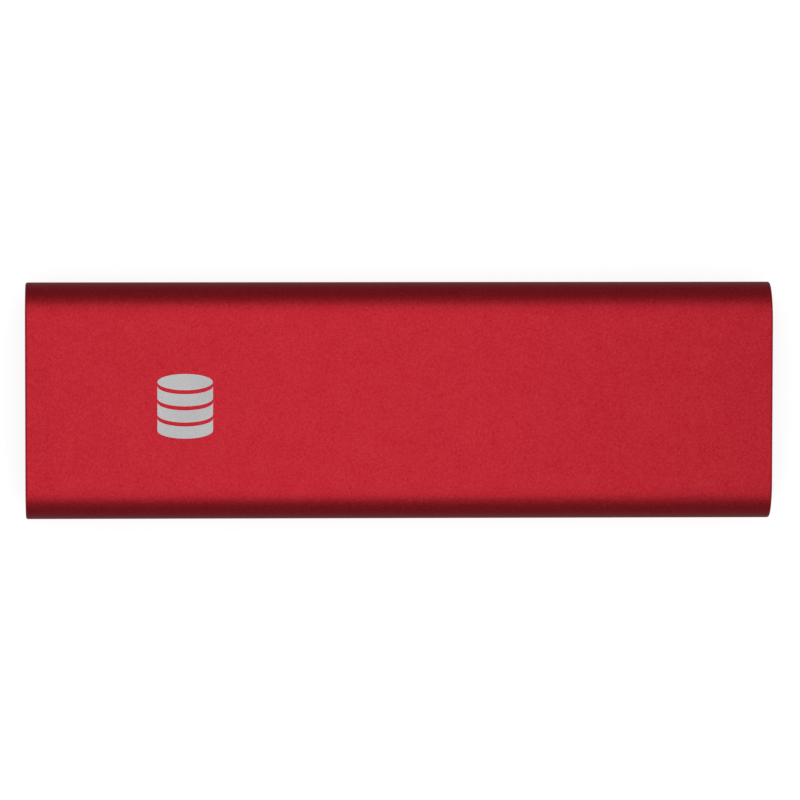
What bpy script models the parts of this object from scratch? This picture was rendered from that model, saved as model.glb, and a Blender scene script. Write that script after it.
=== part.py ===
"""Pocket solid state drive, built from Blender's modelling tools.

An extruded aluminium shell holds a USB bridge board that carries an M.2 flash module. The board is
screwed to the front cap, so the cap, the board and everything on it slide out of the shell as one drawer.

Units are metres and +Z is up. The drive lies on its broad face: its length runs along X, with the USB
port at +X, and the origin is at the middle of the face that it rests on.
"""

import math

import bmesh
import bpy
from mathutils import Matrix

MM = 0.001

# ---- Shell: an extrusion with a bullnose along each side ----
SHELL_LENGTH = 105.0 * MM
SHELL_WIDTH = 33.4 * MM
SHELL_HEIGHT = 11.0 * MM
SHELL_WALL = 1.1 * MM
SHELL_EDGE = 0.3 * MM  # the broken edge round each end

MID_Z = SHELL_HEIGHT / 2
SHELL_END = SHELL_LENGTH / 2
SIDE_RADIUS = SHELL_HEIGHT / 2
SIDE_Y = SHELL_WIDTH / 2 - SIDE_RADIUS  # the bullnose's centre
CAVITY_RADIUS = SIDE_RADIUS - SHELL_WALL
CEILING_Z = SHELL_HEIGHT - SHELL_WALL

BOSS_Y = 13.5 * MM  # the four case screws go into two bosses that run the shell's whole length
BOSS_RADIUS = 1.5 * MM
BOSS_HOLE_RADIUS = 0.85 * MM
LEDGE_TOP_Z = 2.72 * MM  # the board rides on a ledge along each side, under the boss
LEDGE_Y = 12.2 * MM

POCKET_DEPTH = 1.7 * MM  # each end is milled out to take its cap
POCKET_RIM = 0.8 * MM

# ---- Caps ----
CAP_RECESS = 0.3 * MM  # how far a cap's face lies behind the shell's end
CAP_CLEARANCE = 0.1 * MM
CAP_SEAT_GAP = 0.05 * MM
CAP_EDGE = 0.15 * MM
CAP_FACE_X = SHELL_END - CAP_RECESS
CAP_BACK_X = SHELL_END - POCKET_DEPTH + CAP_SEAT_GAP
CAP_RADIUS = SIDE_RADIUS - POCKET_RIM - CAP_CLEARANCE
CAP_THICKNESS = CAP_FACE_X - CAP_BACK_X

# ---- Case screws: M2 x 6, flat head ----
CASE_HEAD_RADIUS = 1.6 * MM
CASE_SHANK_RADIUS = 0.75 * MM
CASE_SCREW_LENGTH = 6.0 * MM
CASE_SCREW_SINK = 0.05 * MM  # the head's top lies this far under the cap's face
COUNTERSINK_RADIUS = 1.75 * MM
CAP_HOLE_RADIUS = 1.0 * MM
TIP_CHAMFER = 0.25 * MM
PAN_RIM = 0.4  # a pan head's chamfer, as a share of its height
RECESS_DEPTH = 0.5 * MM  # the six-lobed driver recess
RECESS_RADIUS = 0.62 * MM
RECESS_LOBE = 0.13 * MM

# ---- Bridge board ----
SOLDER_GAP = 0.05 * MM  # under a soldered part
BOARD_THICKNESS = 1.0 * MM
USB_HEIGHT = 3.16 * MM  # the receptacle stands on the board, at the middle of the cap
BOARD_TOP = MID_Z - USB_HEIGHT / 2 - SOLDER_GAP
BOARD_Z = BOARD_TOP - BOARD_THICKNESS
BOARD_HALF_WIDTH = 14.4 * MM
BOARD_FRONT_X = 50.3 * MM
BOARD_REAR_X = -50.2 * MM
BOARD_CORNER = 0.6 * MM
ON_BOARD = BOARD_TOP + SOLDER_GAP

# ---- Lugs on the front cap, and the two M1.6 screws that hold the board up to them ----
LUG_Y = 9.4 * MM
LUG_WIDTH = 4.2 * MM
LUG_REAR_X = 44.0 * MM
LUG_TOP_Z = 7.3 * MM
LUG_EDGE = 0.3 * MM
LUG_OVERLAP = 0.4 * MM  # how far a lug runs into the cap that it is moulded with
BOARD_SCREW_X = 46.8 * MM
BOARD_HOLE_RADIUS = 0.85 * MM
LUG_HOLE_RADIUS = 0.65 * MM
LUG_HOLE_TOP_Z = 6.4 * MM
BOARD_HEAD_RADIUS = 1.4 * MM
BOARD_HEAD_HEIGHT = 0.8 * MM
BOARD_SHANK_RADIUS = 0.55 * MM
BOARD_SCREW_LENGTH = 3.8 * MM

# ---- USB-C receptacle ----
USB_WIDTH = 8.94 * MM
USB_WALL = 0.3 * MM
USB_FRONT_X = 52.1 * MM
USB_LENGTH = 7.35 * MM
USB_REAR_X = USB_FRONT_X - USB_LENGTH
USB_SLOT_CLEARANCE = 0.17 * MM
TONGUE_WIDTH = 6.65 * MM
TONGUE_THICKNESS = 0.7 * MM
TONGUE_FRONT_X = USB_FRONT_X - 0.7 * MM
TONGUE_BLOCK_X = (USB_REAR_X + 0.15 * MM, USB_REAR_X + 1.65 * MM)
TONGUE_CLEARANCE = 0.05 * MM
TONGUE_ROOT = 0.6 * MM  # how far the blade runs into its block

# ---- Status light ----
LIGHT_Y = 6.2 * MM
PIPE_RADIUS = 0.6 * MM
PIPE_HOLE_RADIUS = 0.7 * MM
PIPE_COLLAR_RADIUS = 0.9 * MM
PIPE_REAR_X = 49.3 * MM
PIPE_COLLAR_X = BOARD_FRONT_X + 0.05 * MM

# ---- M.2 flash module, 22 mm by 80 mm, in its socket ----
MODULE_LENGTH = 80.0 * MM
MODULE_HALF_WIDTH = 11.0 * MM
MODULE_THICKNESS = 0.8 * MM
MODULE_Z = 6.0 * MM
MODULE_TOP = MODULE_Z + MODULE_THICKNESS
MODULE_FRONT_X = 32.5 * MM
MODULE_REAR_X = MODULE_FRONT_X - MODULE_LENGTH
MODULE_EDGE_HALF_WIDTH = 9.9 * MM  # the contact edge that goes into the socket
MODULE_SHOULDER_X = 28.3 * MM
MODULE_NOTCH_RADIUS = 1.75 * MM
KEY_Y = -6.1 * MM
KEY_NOTCH_WIDTH = 1.2 * MM
KEY_NOTCH_X = 29.0 * MM
ON_MODULE = MODULE_TOP + SOLDER_GAP

SOCKET_MOUTH_X = 28.4 * MM
SOCKET_REAR_X = 35.4 * MM
SOCKET_HALF_WIDTH = 11.2 * MM
SOCKET_TOP_Z = 7.95 * MM
SOCKET_SLOT_REAR_X = 32.7 * MM
SOCKET_SLOT_HALF_WIDTH = 10.1 * MM
SOCKET_SLOT_CLEARANCE = 0.15 * MM
SOCKET_KEY_WIDTH = 0.9 * MM
SOCKET_KEY_X = 29.15 * MM

STANDOFF_RADIUS = 2.2 * MM
STANDOFF_NECK_RADIUS = 1.6 * MM
STANDOFF_HOLE_RADIUS = 0.85 * MM
STANDOFF_GAP = 0.05 * MM
MODULE_HEAD_RADIUS = 2.4 * MM
MODULE_HEAD_HEIGHT = 0.7 * MM
MODULE_SHANK_RADIUS = 0.75 * MM
MODULE_SCREW_LENGTH = 3.2 * MM

# ---- Thermal pad and insulator ----
PAD_SIDE = 14.0 * MM
PAD_EDGE = 0.4 * MM
PAD_GAP = 0.1 * MM
SHEET_THICKNESS = 0.15 * MM
SHEET_HALF_WIDTH = 10.8 * MM
SHEET_HALF_LENGTH = 49.0 * MM

# ---- Chips and small parts: name, centre x and y, then length, width and height, in millimetres ----
CHIP_EDGE = 0.08 * MM
BOARD_PARTS_MM = (
    ("bridge_controller", 40.0, 0.0, 6.0, 6.0, 0.85, "chip"),
    ("firmware_flash", 20.0, 0.0, 5.0, 4.0, 1.5, "chip"),
    ("crystal", 40.5, -6.5, 3.2, 2.5, 0.7, "steel"),
    ("power_inductor", 40.2, 7.6, 4.0, 4.0, 2.0, "ferrite"),
    ("voltage_regulator", 39.6, -10.2, 2.9, 1.6, 1.1, "chip"),
    ("status_led", 48.35, 6.2, 1.3, 2.0, 2.2, "lens"),
)
MODULE_PARTS_MM = (
    ("flash_controller", 17.5, 0.0, 12.0, 12.0, 1.1, "chip"),
    ("dram_chip", 4.5, 0.0, 8.0, 12.0, 1.0, "chip"),
    ("nand_chip_1", -9.5, 0.0, 14.0, 18.0, 1.0, "chip"),
    ("nand_chip_2", -26.5, 0.0, 14.0, 18.0, 1.0, "chip"),
    ("module_power_chip", 26.2, 5.6, 3.0, 3.0, 0.8, "chip"),
    ("module_inductor", 26.2, -6.4, 2.5, 2.0, 1.1, "ferrite"),
)
SMALL_CAPACITOR_MM = (1.0, 0.5, 0.5)
CAPACITOR_MM = (1.6, 0.8, 0.8)
LARGE_CAPACITOR_MM = (2.0, 1.25, 1.25)
BOARD_CAPACITORS_MM = [(x, y, SMALL_CAPACITOR_MM) for y in (-4.1, 4.3) for x in (38.0, 40.0, 42.0)]
BOARD_CAPACITORS_MM += [(x, 10.7, LARGE_CAPACITOR_MM) for x in (38.7, 41.5)]
MODULE_CAPACITORS_MM = [(x, y, CAPACITOR_MM) for y in (-8.6, 8.6) for x in (14.5, 17.5, 20.5)]
MODULE_CAPACITORS_MM += [(x, y, CAPACITOR_MM) for y in (-6.0, 6.0) for x in (-37.5, -41.5)]

SIDES = (("left", 1), ("right", -1))

# ---- How finely round shapes are cut ----
SIDE_STEPS = 20  # in a half turn of a bullnose
FINE_STEPS = 24  # in a full turn of a screw or a hole
SMALL_STEPS = 12
CUT_MARGIN = 1.0 * MM  # how far a cutter runs past the wall that it cuts
WELD = 1e-6
SHARP_ANGLE = math.radians(35)
BEVEL_ANGLE = math.radians(60)  # only edges sharper than this are bevelled


def arc(centre, radius, start, end, steps):
    """Points along a circle from one angle to another, in degrees, both ends included."""
    angles = [math.radians(start + (end - start) * i / steps) for i in range(steps + 1)]
    return [(centre[0] + radius * math.cos(a), centre[1] + radius * math.sin(a)) for a in angles]


def circle(centre, radius, steps=SMALL_STEPS):
    return arc(centre, radius, 0, 360, steps)[:-1]


def bullnose_bar(radius, side_y, steps=SIDE_STEPS):
    """A bar's outline at mid height, with a half-round at each side whose centre lies side_y out."""
    right = arc((side_y, MID_Z), radius, -90, 90, steps)
    left = arc((-side_y, MID_Z), radius, 90, 270, steps)
    return right + left


def rounded_rectangle(low, high, radius, steps=3):
    (x0, y0), (x1, y1) = low, high
    corners = ((x1, y1, 0), (x0, y1, 90), (x0, y0, 180), (x1, y0, 270))
    points = []
    for x, y, start in corners:
        inset_x = x - math.copysign(radius, x - (x0 + x1) / 2)
        inset_y = y - math.copysign(radius, y - (y0 + y1) / 2)
        points += arc((inset_x, inset_y), radius, start, start + 90, steps)
    return points


# ---- Materials and collections ----

FINISHES = {
    # name: colour, roughness, metallic
    "anodised_red": ((0.53, 0.025, 0.04), 0.42, 1.0),
    "cap_plastic": ((0.02, 0.02, 0.022), 0.5, 0.0),
    "steel": ((0.6, 0.6, 0.62), 0.3, 1.0),
    "black_steel": ((0.03, 0.03, 0.032), 0.4, 1.0),
    "brass": ((0.78, 0.6, 0.3), 0.35, 1.0),
    "board": ((0.01, 0.045, 0.02), 0.45, 0.0),
    "chip": ((0.02, 0.02, 0.022), 0.6, 0.0),
    "ferrite": ((0.09, 0.09, 0.095), 0.7, 0.0),
    "capacitor": ((0.45, 0.33, 0.2), 0.5, 0.0),
    "socket_plastic": ((0.025, 0.025, 0.025), 0.55, 0.0),
    "lens": ((0.85, 0.88, 0.9), 0.2, 0.0),
    "thermal_silicone": ((0.35, 0.42, 0.5), 0.8, 0.0),
    "insulator_film": ((0.05, 0.05, 0.055), 0.35, 0.0),
}


def make_material(name):
    colour, roughness, metallic = FINISHES[name]
    material = bpy.data.materials.new(name)
    material.use_nodes = True
    shader = material.node_tree.nodes["Principled BSDF"]
    shader.inputs["Base Color"].default_value = (*colour, 1.0)
    shader.inputs["Roughness"].default_value = roughness
    shader.inputs["Metallic"].default_value = metallic
    return material


def make_collection(name):
    collection = bpy.data.collections.new(name)
    bpy.context.scene.collection.children.link(collection)
    return collection


def clear_scene():
    for obj in list(bpy.data.objects):
        bpy.data.objects.remove(obj, do_unlink=True)


clear_scene()
MATERIALS = {name: make_material(name) for name in FINISHES}
DRIVE = make_collection("pocket_solid_state_drive")
CUTTERS = make_collection("cutters")


# ---- Shapes ----


def place(obj, finish):
    """Puts a finished shape in the drive's collection, or with no finish among the cutters."""
    for collection in list(obj.users_collection):
        collection.objects.unlink(obj)
    if finish is None:
        CUTTERS.objects.link(obj)
        obj.hide_render = True
        obj.display_type = "WIRE"
    else:
        DRIVE.objects.link(obj)
        obj.data.materials.clear()
        obj.data.materials.append(MATERIALS[finish])
    return obj


def bevel(obj, width, segments=1):
    modifier = obj.modifiers.new("edge", "BEVEL")
    modifier.width = width
    modifier.segments = segments
    modifier.limit_method = "ANGLE"
    modifier.angle_limit = BEVEL_ANGLE
    return obj


def as_solid(drawn, name, finish):
    """Swaps a drawn curve, or a profile with its modifier, for a welded mesh that is shaded as round."""
    bpy.context.view_layer.update()
    mesh = bpy.data.meshes.new_from_object(drawn.evaluated_get(bpy.context.evaluated_depsgraph_get()))
    mesh.name = name
    shape = bmesh.new()
    shape.from_mesh(mesh)
    bmesh.ops.remove_doubles(shape, verts=shape.verts, dist=WELD)
    bmesh.ops.recalc_face_normals(shape, faces=shape.faces)
    shape.to_mesh(mesh)
    shape.free()
    mesh.shade_smooth()
    mesh.set_sharp_from_angle(angle=SHARP_ANGLE)
    obj = bpy.data.objects.new(name, mesh)
    obj.matrix_world = drawn.matrix_world.copy()
    bpy.data.objects.remove(drawn, do_unlink=True)
    return place(obj, finish)


def outline_solid(name, loops, thickness, matrix, finish):
    """A flat outline with its holes, thickened by half on each side of the matrix's XY plane."""
    curve = bpy.data.curves.new(name, "CURVE")
    curve.dimensions = "2D"
    curve.fill_mode = "BOTH"
    curve.extrude = thickness / 2
    for loop in loops:
        spline = curve.splines.new("POLY")
        spline.points.add(len(loop) - 1)
        for point, (u, v) in zip(spline.points, loop):
            point.co = (u, v, 0.0, 1.0)
        spline.use_cyclic_u = True
    drawn = bpy.data.objects.new(name + "_outline", curve)
    bpy.context.scene.collection.objects.link(drawn)
    drawn.matrix_world = matrix
    return as_solid(drawn, name, finish)


def bar_along_x(name, loops, x0, x1, finish=None):
    """Outlines drawn in Y and Z, stretched from x0 to x1."""
    turn = Matrix(((0, 0, 1), (1, 0, 0), (0, 1, 0))).to_4x4()
    matrix = Matrix.Translation(((x0 + x1) / 2, 0, 0)) @ turn
    return outline_solid(name, loops, x1 - x0, matrix, finish)


def plate_along_z(name, loops, z0, z1, finish=None):
    """Outlines drawn in X and Y, stretched from z0 to z1."""
    return outline_solid(name, loops, z1 - z0, Matrix.Translation((0, 0, (z0 + z1) / 2)), finish)


def box(name, low, high, finish=None, edge=0.0):
    centre = [(a + b) / 2 for a, b in zip(low, high)]
    bpy.ops.mesh.primitive_cube_add(size=1.0, location=centre)
    obj = bpy.context.active_object
    obj.name = obj.data.name = name
    obj.data.transform(Matrix.Diagonal([b - a for a, b in zip(low, high)] + [1.0]))
    place(obj, finish)
    return bevel(obj, edge) if edge else obj


def turned(name, profile, finish=None, steps=FINE_STEPS):
    """A profile of (radius, height) points turned about Z. It runs from the top down the outer side."""
    mesh = bpy.data.meshes.new(name + "_profile")
    points = [(radius, 0.0, height) for radius, height in profile]
    mesh.from_pydata(points, [(i, i + 1) for i in range(len(points) - 1)], [])
    drawn = bpy.data.objects.new(name + "_profile", mesh)
    bpy.context.scene.collection.objects.link(drawn)
    screw = drawn.modifiers.new("turn", "SCREW")
    screw.axis = "Z"
    screw.steps = screw.render_steps = steps
    screw.use_merge_vertices = True
    screw.merge_threshold = WELD
    return as_solid(drawn, name, finish)


def stand(obj, location, facing="+Z"):
    """Moves a turned shape so that its own +Z faces the way named."""
    turns = {"+Z": (0, 0, 0), "-Z": (math.pi, 0, 0), "+X": (0, math.pi / 2, 0), "-X": (0, -math.pi / 2, 0)}
    obj.location = location
    obj.rotation_euler = turns[facing]
    return obj


def combine(obj, other, operation):
    modifier = obj.modifiers.new(operation.lower(), "BOOLEAN")
    modifier.operation = operation
    modifier.solver = "EXACT"
    modifier.object = other
    return obj


def cut(obj, *cutters):
    for cutter in cutters:
        combine(obj, cutter, "DIFFERENCE")
    return obj


def shade_cut_pieces():
    """Keeps the flat faces of each cut piece flat to the light, next to its rounded ones."""
    for obj in DRIVE.objects:
        if any(modifier.type == "BOOLEAN" for modifier in obj.modifiers):
            obj.modifiers.new("shading", "WEIGHTED_NORMAL").keep_sharp = True


def hang_on(empty_name, location, *objects):
    """Parents pieces that move together to an empty that stands on their joint's axis."""
    empty = bpy.data.objects.new(empty_name, None)
    DRIVE.objects.link(empty)
    empty.location = location
    bpy.context.view_layer.update()
    for obj in objects:
        obj.parent = empty
        obj.matrix_parent_inverse = empty.matrix_world.inverted()


# ---- Shell ----


def cavity_side(sign):
    """One side of the cavity, from the ceiling down past the screw boss and the board's ledge."""
    centre = (SIDE_Y, MID_Z)
    boss_angle = math.degrees(math.asin(BOSS_RADIUS / CAVITY_RADIUS))
    ledge_angle = math.degrees(math.asin((MID_Z - LEDGE_TOP_Z) / CAVITY_RADIUS))
    foot_angle = math.degrees(math.acos((LEDGE_Y - SIDE_Y) / CAVITY_RADIUS))
    points = arc(centre, CAVITY_RADIUS, 90, boss_angle, SIDE_STEPS // 2)
    points += arc((BOSS_Y, MID_Z), BOSS_RADIUS, 90, 270, SMALL_STEPS)
    points += arc(centre, CAVITY_RADIUS, -boss_angle, -ledge_angle, 3)
    points += [(LEDGE_Y, LEDGE_TOP_Z)]
    points += arc(centre, CAVITY_RADIUS, -foot_angle, -90, 2)
    return [(sign * y, z) for y, z in points]


def make_shell():
    outside = bullnose_bar(SIDE_RADIUS, SIDE_Y)
    shell = bar_along_x("outer_shell", [outside], -SHELL_END, SHELL_END, "anodised_red")
    bevel(shell, SHELL_EDGE, segments=2)
    past_end = SHELL_END + CUT_MARGIN
    cavity = bar_along_x("shell_cavity", [cavity_side(1) + cavity_side(-1)[::-1]], -past_end, past_end)
    cut(shell, cavity)
    pocket = bullnose_bar(SIDE_RADIUS - POCKET_RIM, SIDE_Y)
    for name, sign in (("front", 1), ("rear", -1)):
        reach = sorted((sign * (SHELL_END - POCKET_DEPTH), sign * past_end))
        cut(shell, bar_along_x(name + "_cap_pocket", [pocket], *reach))
    for name, sign in SIDES:
        hole = circle((sign * BOSS_Y, MID_Z), BOSS_HOLE_RADIUS)
        cut(shell, bar_along_x(name + "_boss_hole", [hole], -past_end, past_end))
    return shell


def make_insulator_sheet():
    low_z = SHELL_WALL + SOLDER_GAP
    return box(
        "insulator_sheet",
        (-SHEET_HALF_LENGTH, -SHEET_HALF_WIDTH, low_z),
        (SHEET_HALF_LENGTH, SHEET_HALF_WIDTH, low_z + SHEET_THICKNESS),
        "insulator_film",
    )


# ---- Screws ----


def make_driver_recess(name, location, facing):
    """A six-lobed star that runs into a screw's head from its top."""
    star = []
    for i in range(FINE_STEPS):
        angle = 2 * math.pi * i / FINE_STEPS
        radius = RECESS_RADIUS - RECESS_LOBE * (1 - math.cos(6 * angle)) / 2
        star.append((radius * math.cos(angle), radius * math.sin(angle)))
    cutter = plate_along_z(name, [star], -RECESS_DEPTH, CUT_MARGIN)
    cutter.data.transform(Matrix.Translation((0, 0, cutter.location.z)))
    return stand(cutter, location, facing)


def make_screw(name, profile, location, facing, finish):
    """A screw whose head's top is at its origin, with its recess cut."""
    screw = stand(turned(name, profile, finish), location, facing)
    return cut(screw, make_driver_recess(name + "_recess", location, facing))


def make_case_screw(name, end, y):
    """A flat-head screw through a cap into the shell's boss. The end is +1 for the front, -1 for the rear."""
    cone = CASE_HEAD_RADIUS - CASE_SHANK_RADIUS
    profile = [
        (0.0, 0.0),
        (CASE_HEAD_RADIUS, 0.0),
        (CASE_SHANK_RADIUS, -cone),
        (CASE_SHANK_RADIUS, TIP_CHAMFER - CASE_SCREW_LENGTH),
        (CASE_SHANK_RADIUS - TIP_CHAMFER, -CASE_SCREW_LENGTH),
        (0.0, -CASE_SCREW_LENGTH),
    ]
    location = (end * (CAP_FACE_X - CASE_SCREW_SINK), y, MID_Z)
    return make_screw(name, profile, location, "+X" if end > 0 else "-X", "black_steel")


def pan_profile(head_radius, head_height, shank_radius, length):
    rim = head_height * PAN_RIM
    return [
        (0.0, 0.0),
        (head_radius - rim, 0.0),
        (head_radius, -rim),
        (head_radius, -head_height),
        (shank_radius, -head_height),
        (shank_radius, TIP_CHAMFER - length),
        (shank_radius - TIP_CHAMFER, -length),
        (0.0, -length),
    ]


def make_board_screw(name, y):
    """It goes up through the board into the front cap's lug, with its head under the board."""
    head_top = BOARD_Z - SOLDER_GAP - BOARD_HEAD_HEIGHT
    profile = pan_profile(BOARD_HEAD_RADIUS, BOARD_HEAD_HEIGHT, BOARD_SHANK_RADIUS, BOARD_SCREW_LENGTH)
    return make_screw(name, profile, (BOARD_SCREW_X, y, head_top), "-Z", "steel")


def make_module_screw():
    head_top = MODULE_TOP + SOLDER_GAP + MODULE_HEAD_HEIGHT
    profile = pan_profile(MODULE_HEAD_RADIUS, MODULE_HEAD_HEIGHT, MODULE_SHANK_RADIUS, MODULE_SCREW_LENGTH)
    return make_screw("module_screw", profile, (MODULE_REAR_X, 0, head_top), "+Z", "steel")


# ---- Caps ----


def cap_plate(name, end):
    """A cap's plate, before anything is cut in it."""
    reach = sorted((end * CAP_BACK_X, end * CAP_FACE_X))
    plate = bar_along_x(name, [bullnose_bar(CAP_RADIUS, SIDE_Y)], *reach, "cap_plastic")
    return bevel(plate, CAP_EDGE)


def cut_screw_holes(plate, name, end):
    cone = COUNTERSINK_RADIUS - CAP_HOLE_RADIUS
    profile = [
        (0.0, CUT_MARGIN),
        (COUNTERSINK_RADIUS + CUT_MARGIN, CUT_MARGIN),
        (COUNTERSINK_RADIUS, 0.0),
        (CAP_HOLE_RADIUS, -cone),
        (CAP_HOLE_RADIUS, -CAP_THICKNESS - CUT_MARGIN),
        (0.0, -CAP_THICKNESS - CUT_MARGIN),
    ]
    for side, sign in SIDES:
        cutter = turned(f"{name}_{side}_hole", profile)
        stand(cutter, (end * CAP_FACE_X, sign * BOSS_Y, MID_Z), "+X" if end > 0 else "-X")
        cut(plate, cutter)
    return plate


def make_rear_cap():
    return cut_screw_holes(cap_plate("rear_cap", -1), "rear_cap", -1)


def make_front_cap():
    """The plate, with a slot for the receptacle, a hole for the light pipe and two lugs for the board."""
    cap = cap_plate("front_cap", 1)
    for side, sign in SIDES:
        inner, outer = sorted((sign * (LUG_Y - LUG_WIDTH / 2), sign * (LUG_Y + LUG_WIDTH / 2)))
        low, high = (LUG_REAR_X, inner, ON_BOARD), (CAP_BACK_X + LUG_OVERLAP, outer, LUG_TOP_Z)
        combine(cap, box(f"{side}_lug", low, high, edge=LUG_EDGE), "UNION")
    cut_screw_holes(cap, "front_cap", 1)
    for side, sign in SIDES:
        hole = circle((BOARD_SCREW_X, sign * LUG_Y), LUG_HOLE_RADIUS)
        cut(cap, plate_along_z(f"{side}_lug_hole", [hole], ON_BOARD - CUT_MARGIN, LUG_HOLE_TOP_Z))
    slot_radius = USB_HEIGHT / 2 + USB_SLOT_CLEARANCE
    slot = bullnose_bar(slot_radius, (USB_WIDTH - USB_HEIGHT) / 2, SMALL_STEPS)
    pipe_hole = circle((LIGHT_Y, MID_Z), PIPE_HOLE_RADIUS)
    for name, loop in (("usb_slot", slot), ("light_pipe_hole", pipe_hole)):
        cut(cap, bar_along_x(name, [loop], CAP_BACK_X - CUT_MARGIN, CAP_FACE_X + CUT_MARGIN))
    return cap


def make_light_pipe():
    face, collar_front, collar_rear = CAP_FACE_X, CAP_BACK_X - SOLDER_GAP, PIPE_COLLAR_X
    profile = [
        (0.0, 0.0),
        (PIPE_RADIUS, 0.0),
        (PIPE_RADIUS, collar_front - face),
        (PIPE_COLLAR_RADIUS, collar_front - face),
        (PIPE_COLLAR_RADIUS, collar_rear - face),
        (PIPE_RADIUS, collar_rear - face),
        (PIPE_RADIUS, PIPE_REAR_X - face),
        (0.0, PIPE_REAR_X - face),
    ]
    return stand(turned("light_pipe", profile, "lens", SMALL_STEPS), (face, LIGHT_Y, MID_Z), "+X")


# ---- Bridge board and its USB-C receptacle ----


def make_bridge_board():
    low, high = (BOARD_REAR_X, -BOARD_HALF_WIDTH), (BOARD_FRONT_X, BOARD_HALF_WIDTH)
    loops = [rounded_rectangle(low, high, BOARD_CORNER)]
    loops += [circle((BOARD_SCREW_X, sign * LUG_Y), BOARD_HOLE_RADIUS) for sign in (1, -1)]
    return plate_along_z("bridge_board", loops, BOARD_Z, BOARD_TOP, "board")


def make_usb_shell():
    side = (USB_WIDTH - USB_HEIGHT) / 2
    outer = bullnose_bar(USB_HEIGHT / 2, side, SMALL_STEPS)
    inner = bullnose_bar(USB_HEIGHT / 2 - USB_WALL, side, SMALL_STEPS)
    return bar_along_x("usb_shell", [outer, inner], USB_REAR_X, USB_FRONT_X, "steel")


def make_usb_tongue():
    """The contact tongue, with the block behind it that fills the receptacle's back."""
    radius = USB_HEIGHT / 2 - USB_WALL - TONGUE_CLEARANCE
    loop = bullnose_bar(radius, (USB_WIDTH - USB_HEIGHT) / 2, SMALL_STEPS)
    block = bar_along_x("usb_tongue", [loop], *TONGUE_BLOCK_X, "socket_plastic")
    tongue = box(
        "tongue_blade",
        (TONGUE_BLOCK_X[1] - TONGUE_ROOT, -TONGUE_WIDTH / 2, MID_Z - TONGUE_THICKNESS / 2),
        (TONGUE_FRONT_X, TONGUE_WIDTH / 2, MID_Z + TONGUE_THICKNESS / 2),
    )
    return combine(block, tongue, "UNION")


def small_part(name, x, y, size, base_z, finish):
    """A chip or other small part from its centre and its length, width and height in millimetres."""
    length, width, height = (side * MM for side in size)
    low = (x * MM - length / 2, y * MM - width / 2, base_z)
    high = (x * MM + length / 2, y * MM + width / 2, base_z + height)
    return box(name, low, high, finish, CHIP_EDGE)


def make_small_parts(parts, capacitors, prefix, base_z):
    made = [
        small_part(name, x, y, (length, width, height), base_z, finish)
        for name, x, y, length, width, height, finish in parts
    ]
    for number, (x, y, size) in enumerate(capacitors, 1):
        made.append(small_part(f"{prefix}_capacitor_{number}", x, y, size, base_z, "capacitor"))
    return made


# ---- M.2 socket, module and its fixing ----


def make_module_socket():
    body = box(
        "module_socket",
        (SOCKET_MOUTH_X, -SOCKET_HALF_WIDTH, ON_BOARD),
        (SOCKET_REAR_X, SOCKET_HALF_WIDTH, SOCKET_TOP_Z),
        "socket_plastic",
        CHIP_EDGE,
    )
    z0, z1 = MODULE_Z - SOCKET_SLOT_CLEARANCE, MODULE_TOP + SOCKET_SLOT_CLEARANCE
    mouth_x = SOCKET_MOUTH_X - CUT_MARGIN
    spans = (
        ("socket_mouth", -SOCKET_SLOT_HALF_WIDTH, SOCKET_SLOT_HALF_WIDTH, SOCKET_KEY_X),
        ("socket_short_slot", -SOCKET_SLOT_HALF_WIDTH, KEY_Y - SOCKET_KEY_WIDTH / 2, SOCKET_SLOT_REAR_X),
        ("socket_long_slot", KEY_Y + SOCKET_KEY_WIDTH / 2, SOCKET_SLOT_HALF_WIDTH, SOCKET_SLOT_REAR_X),
    )
    for name, y0, y1, rear_x in spans:
        cut(body, box(name, (mouth_x, y0, z0), (rear_x, y1, z1)))
    return body


def make_module_board():
    """The contact edge with its key notch is at the front, and a half-round screw notch at the rear."""
    side, edge = MODULE_HALF_WIDTH, MODULE_EDGE_HALF_WIDTH
    key_low, key_high = KEY_Y - KEY_NOTCH_WIDTH / 2, KEY_Y + KEY_NOTCH_WIDTH / 2
    loop = [
        (MODULE_REAR_X, -side),
        (MODULE_SHOULDER_X, -side),
        (MODULE_SHOULDER_X, -edge),
        (MODULE_FRONT_X, -edge),
        (MODULE_FRONT_X, key_low),
        (KEY_NOTCH_X, key_low),
        (KEY_NOTCH_X, key_high),
        (MODULE_FRONT_X, key_high),
        (MODULE_FRONT_X, edge),
        (MODULE_SHOULDER_X, edge),
        (MODULE_SHOULDER_X, side),
        (MODULE_REAR_X, side),
    ]
    loop += arc((MODULE_REAR_X, 0), MODULE_NOTCH_RADIUS, 90, -90, SMALL_STEPS)
    return plate_along_z("module_board", [loop], MODULE_Z, MODULE_TOP, "board")


def make_standoff():
    """A brass nut on the board, whose neck locates the module's notch."""
    shoulder = MODULE_Z - STANDOFF_GAP
    profile = [
        (STANDOFF_HOLE_RADIUS, MODULE_TOP),
        (STANDOFF_NECK_RADIUS, MODULE_TOP),
        (STANDOFF_NECK_RADIUS, shoulder),
        (STANDOFF_RADIUS, shoulder),
        (STANDOFF_RADIUS, ON_BOARD),
        (STANDOFF_HOLE_RADIUS, ON_BOARD),
        (STANDOFF_HOLE_RADIUS, MODULE_TOP),
    ]
    return stand(turned("module_standoff", profile, "brass"), (MODULE_REAR_X, 0, 0))


def make_thermal_pad(chip):
    """A silicone pad between the flash controller and the shell's ceiling."""
    chip_x, chip_y = chip.location.x, chip.location.y
    chip_top = ON_MODULE + chip.dimensions.z
    return box(
        "thermal_pad",
        (chip_x - PAD_SIDE / 2, chip_y - PAD_SIDE / 2, chip_top + SOLDER_GAP),
        (chip_x + PAD_SIDE / 2, chip_y + PAD_SIDE / 2, CEILING_Z - PAD_GAP),
        "thermal_silicone",
        PAD_EDGE,
    )


# ---- The drive ----


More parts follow.
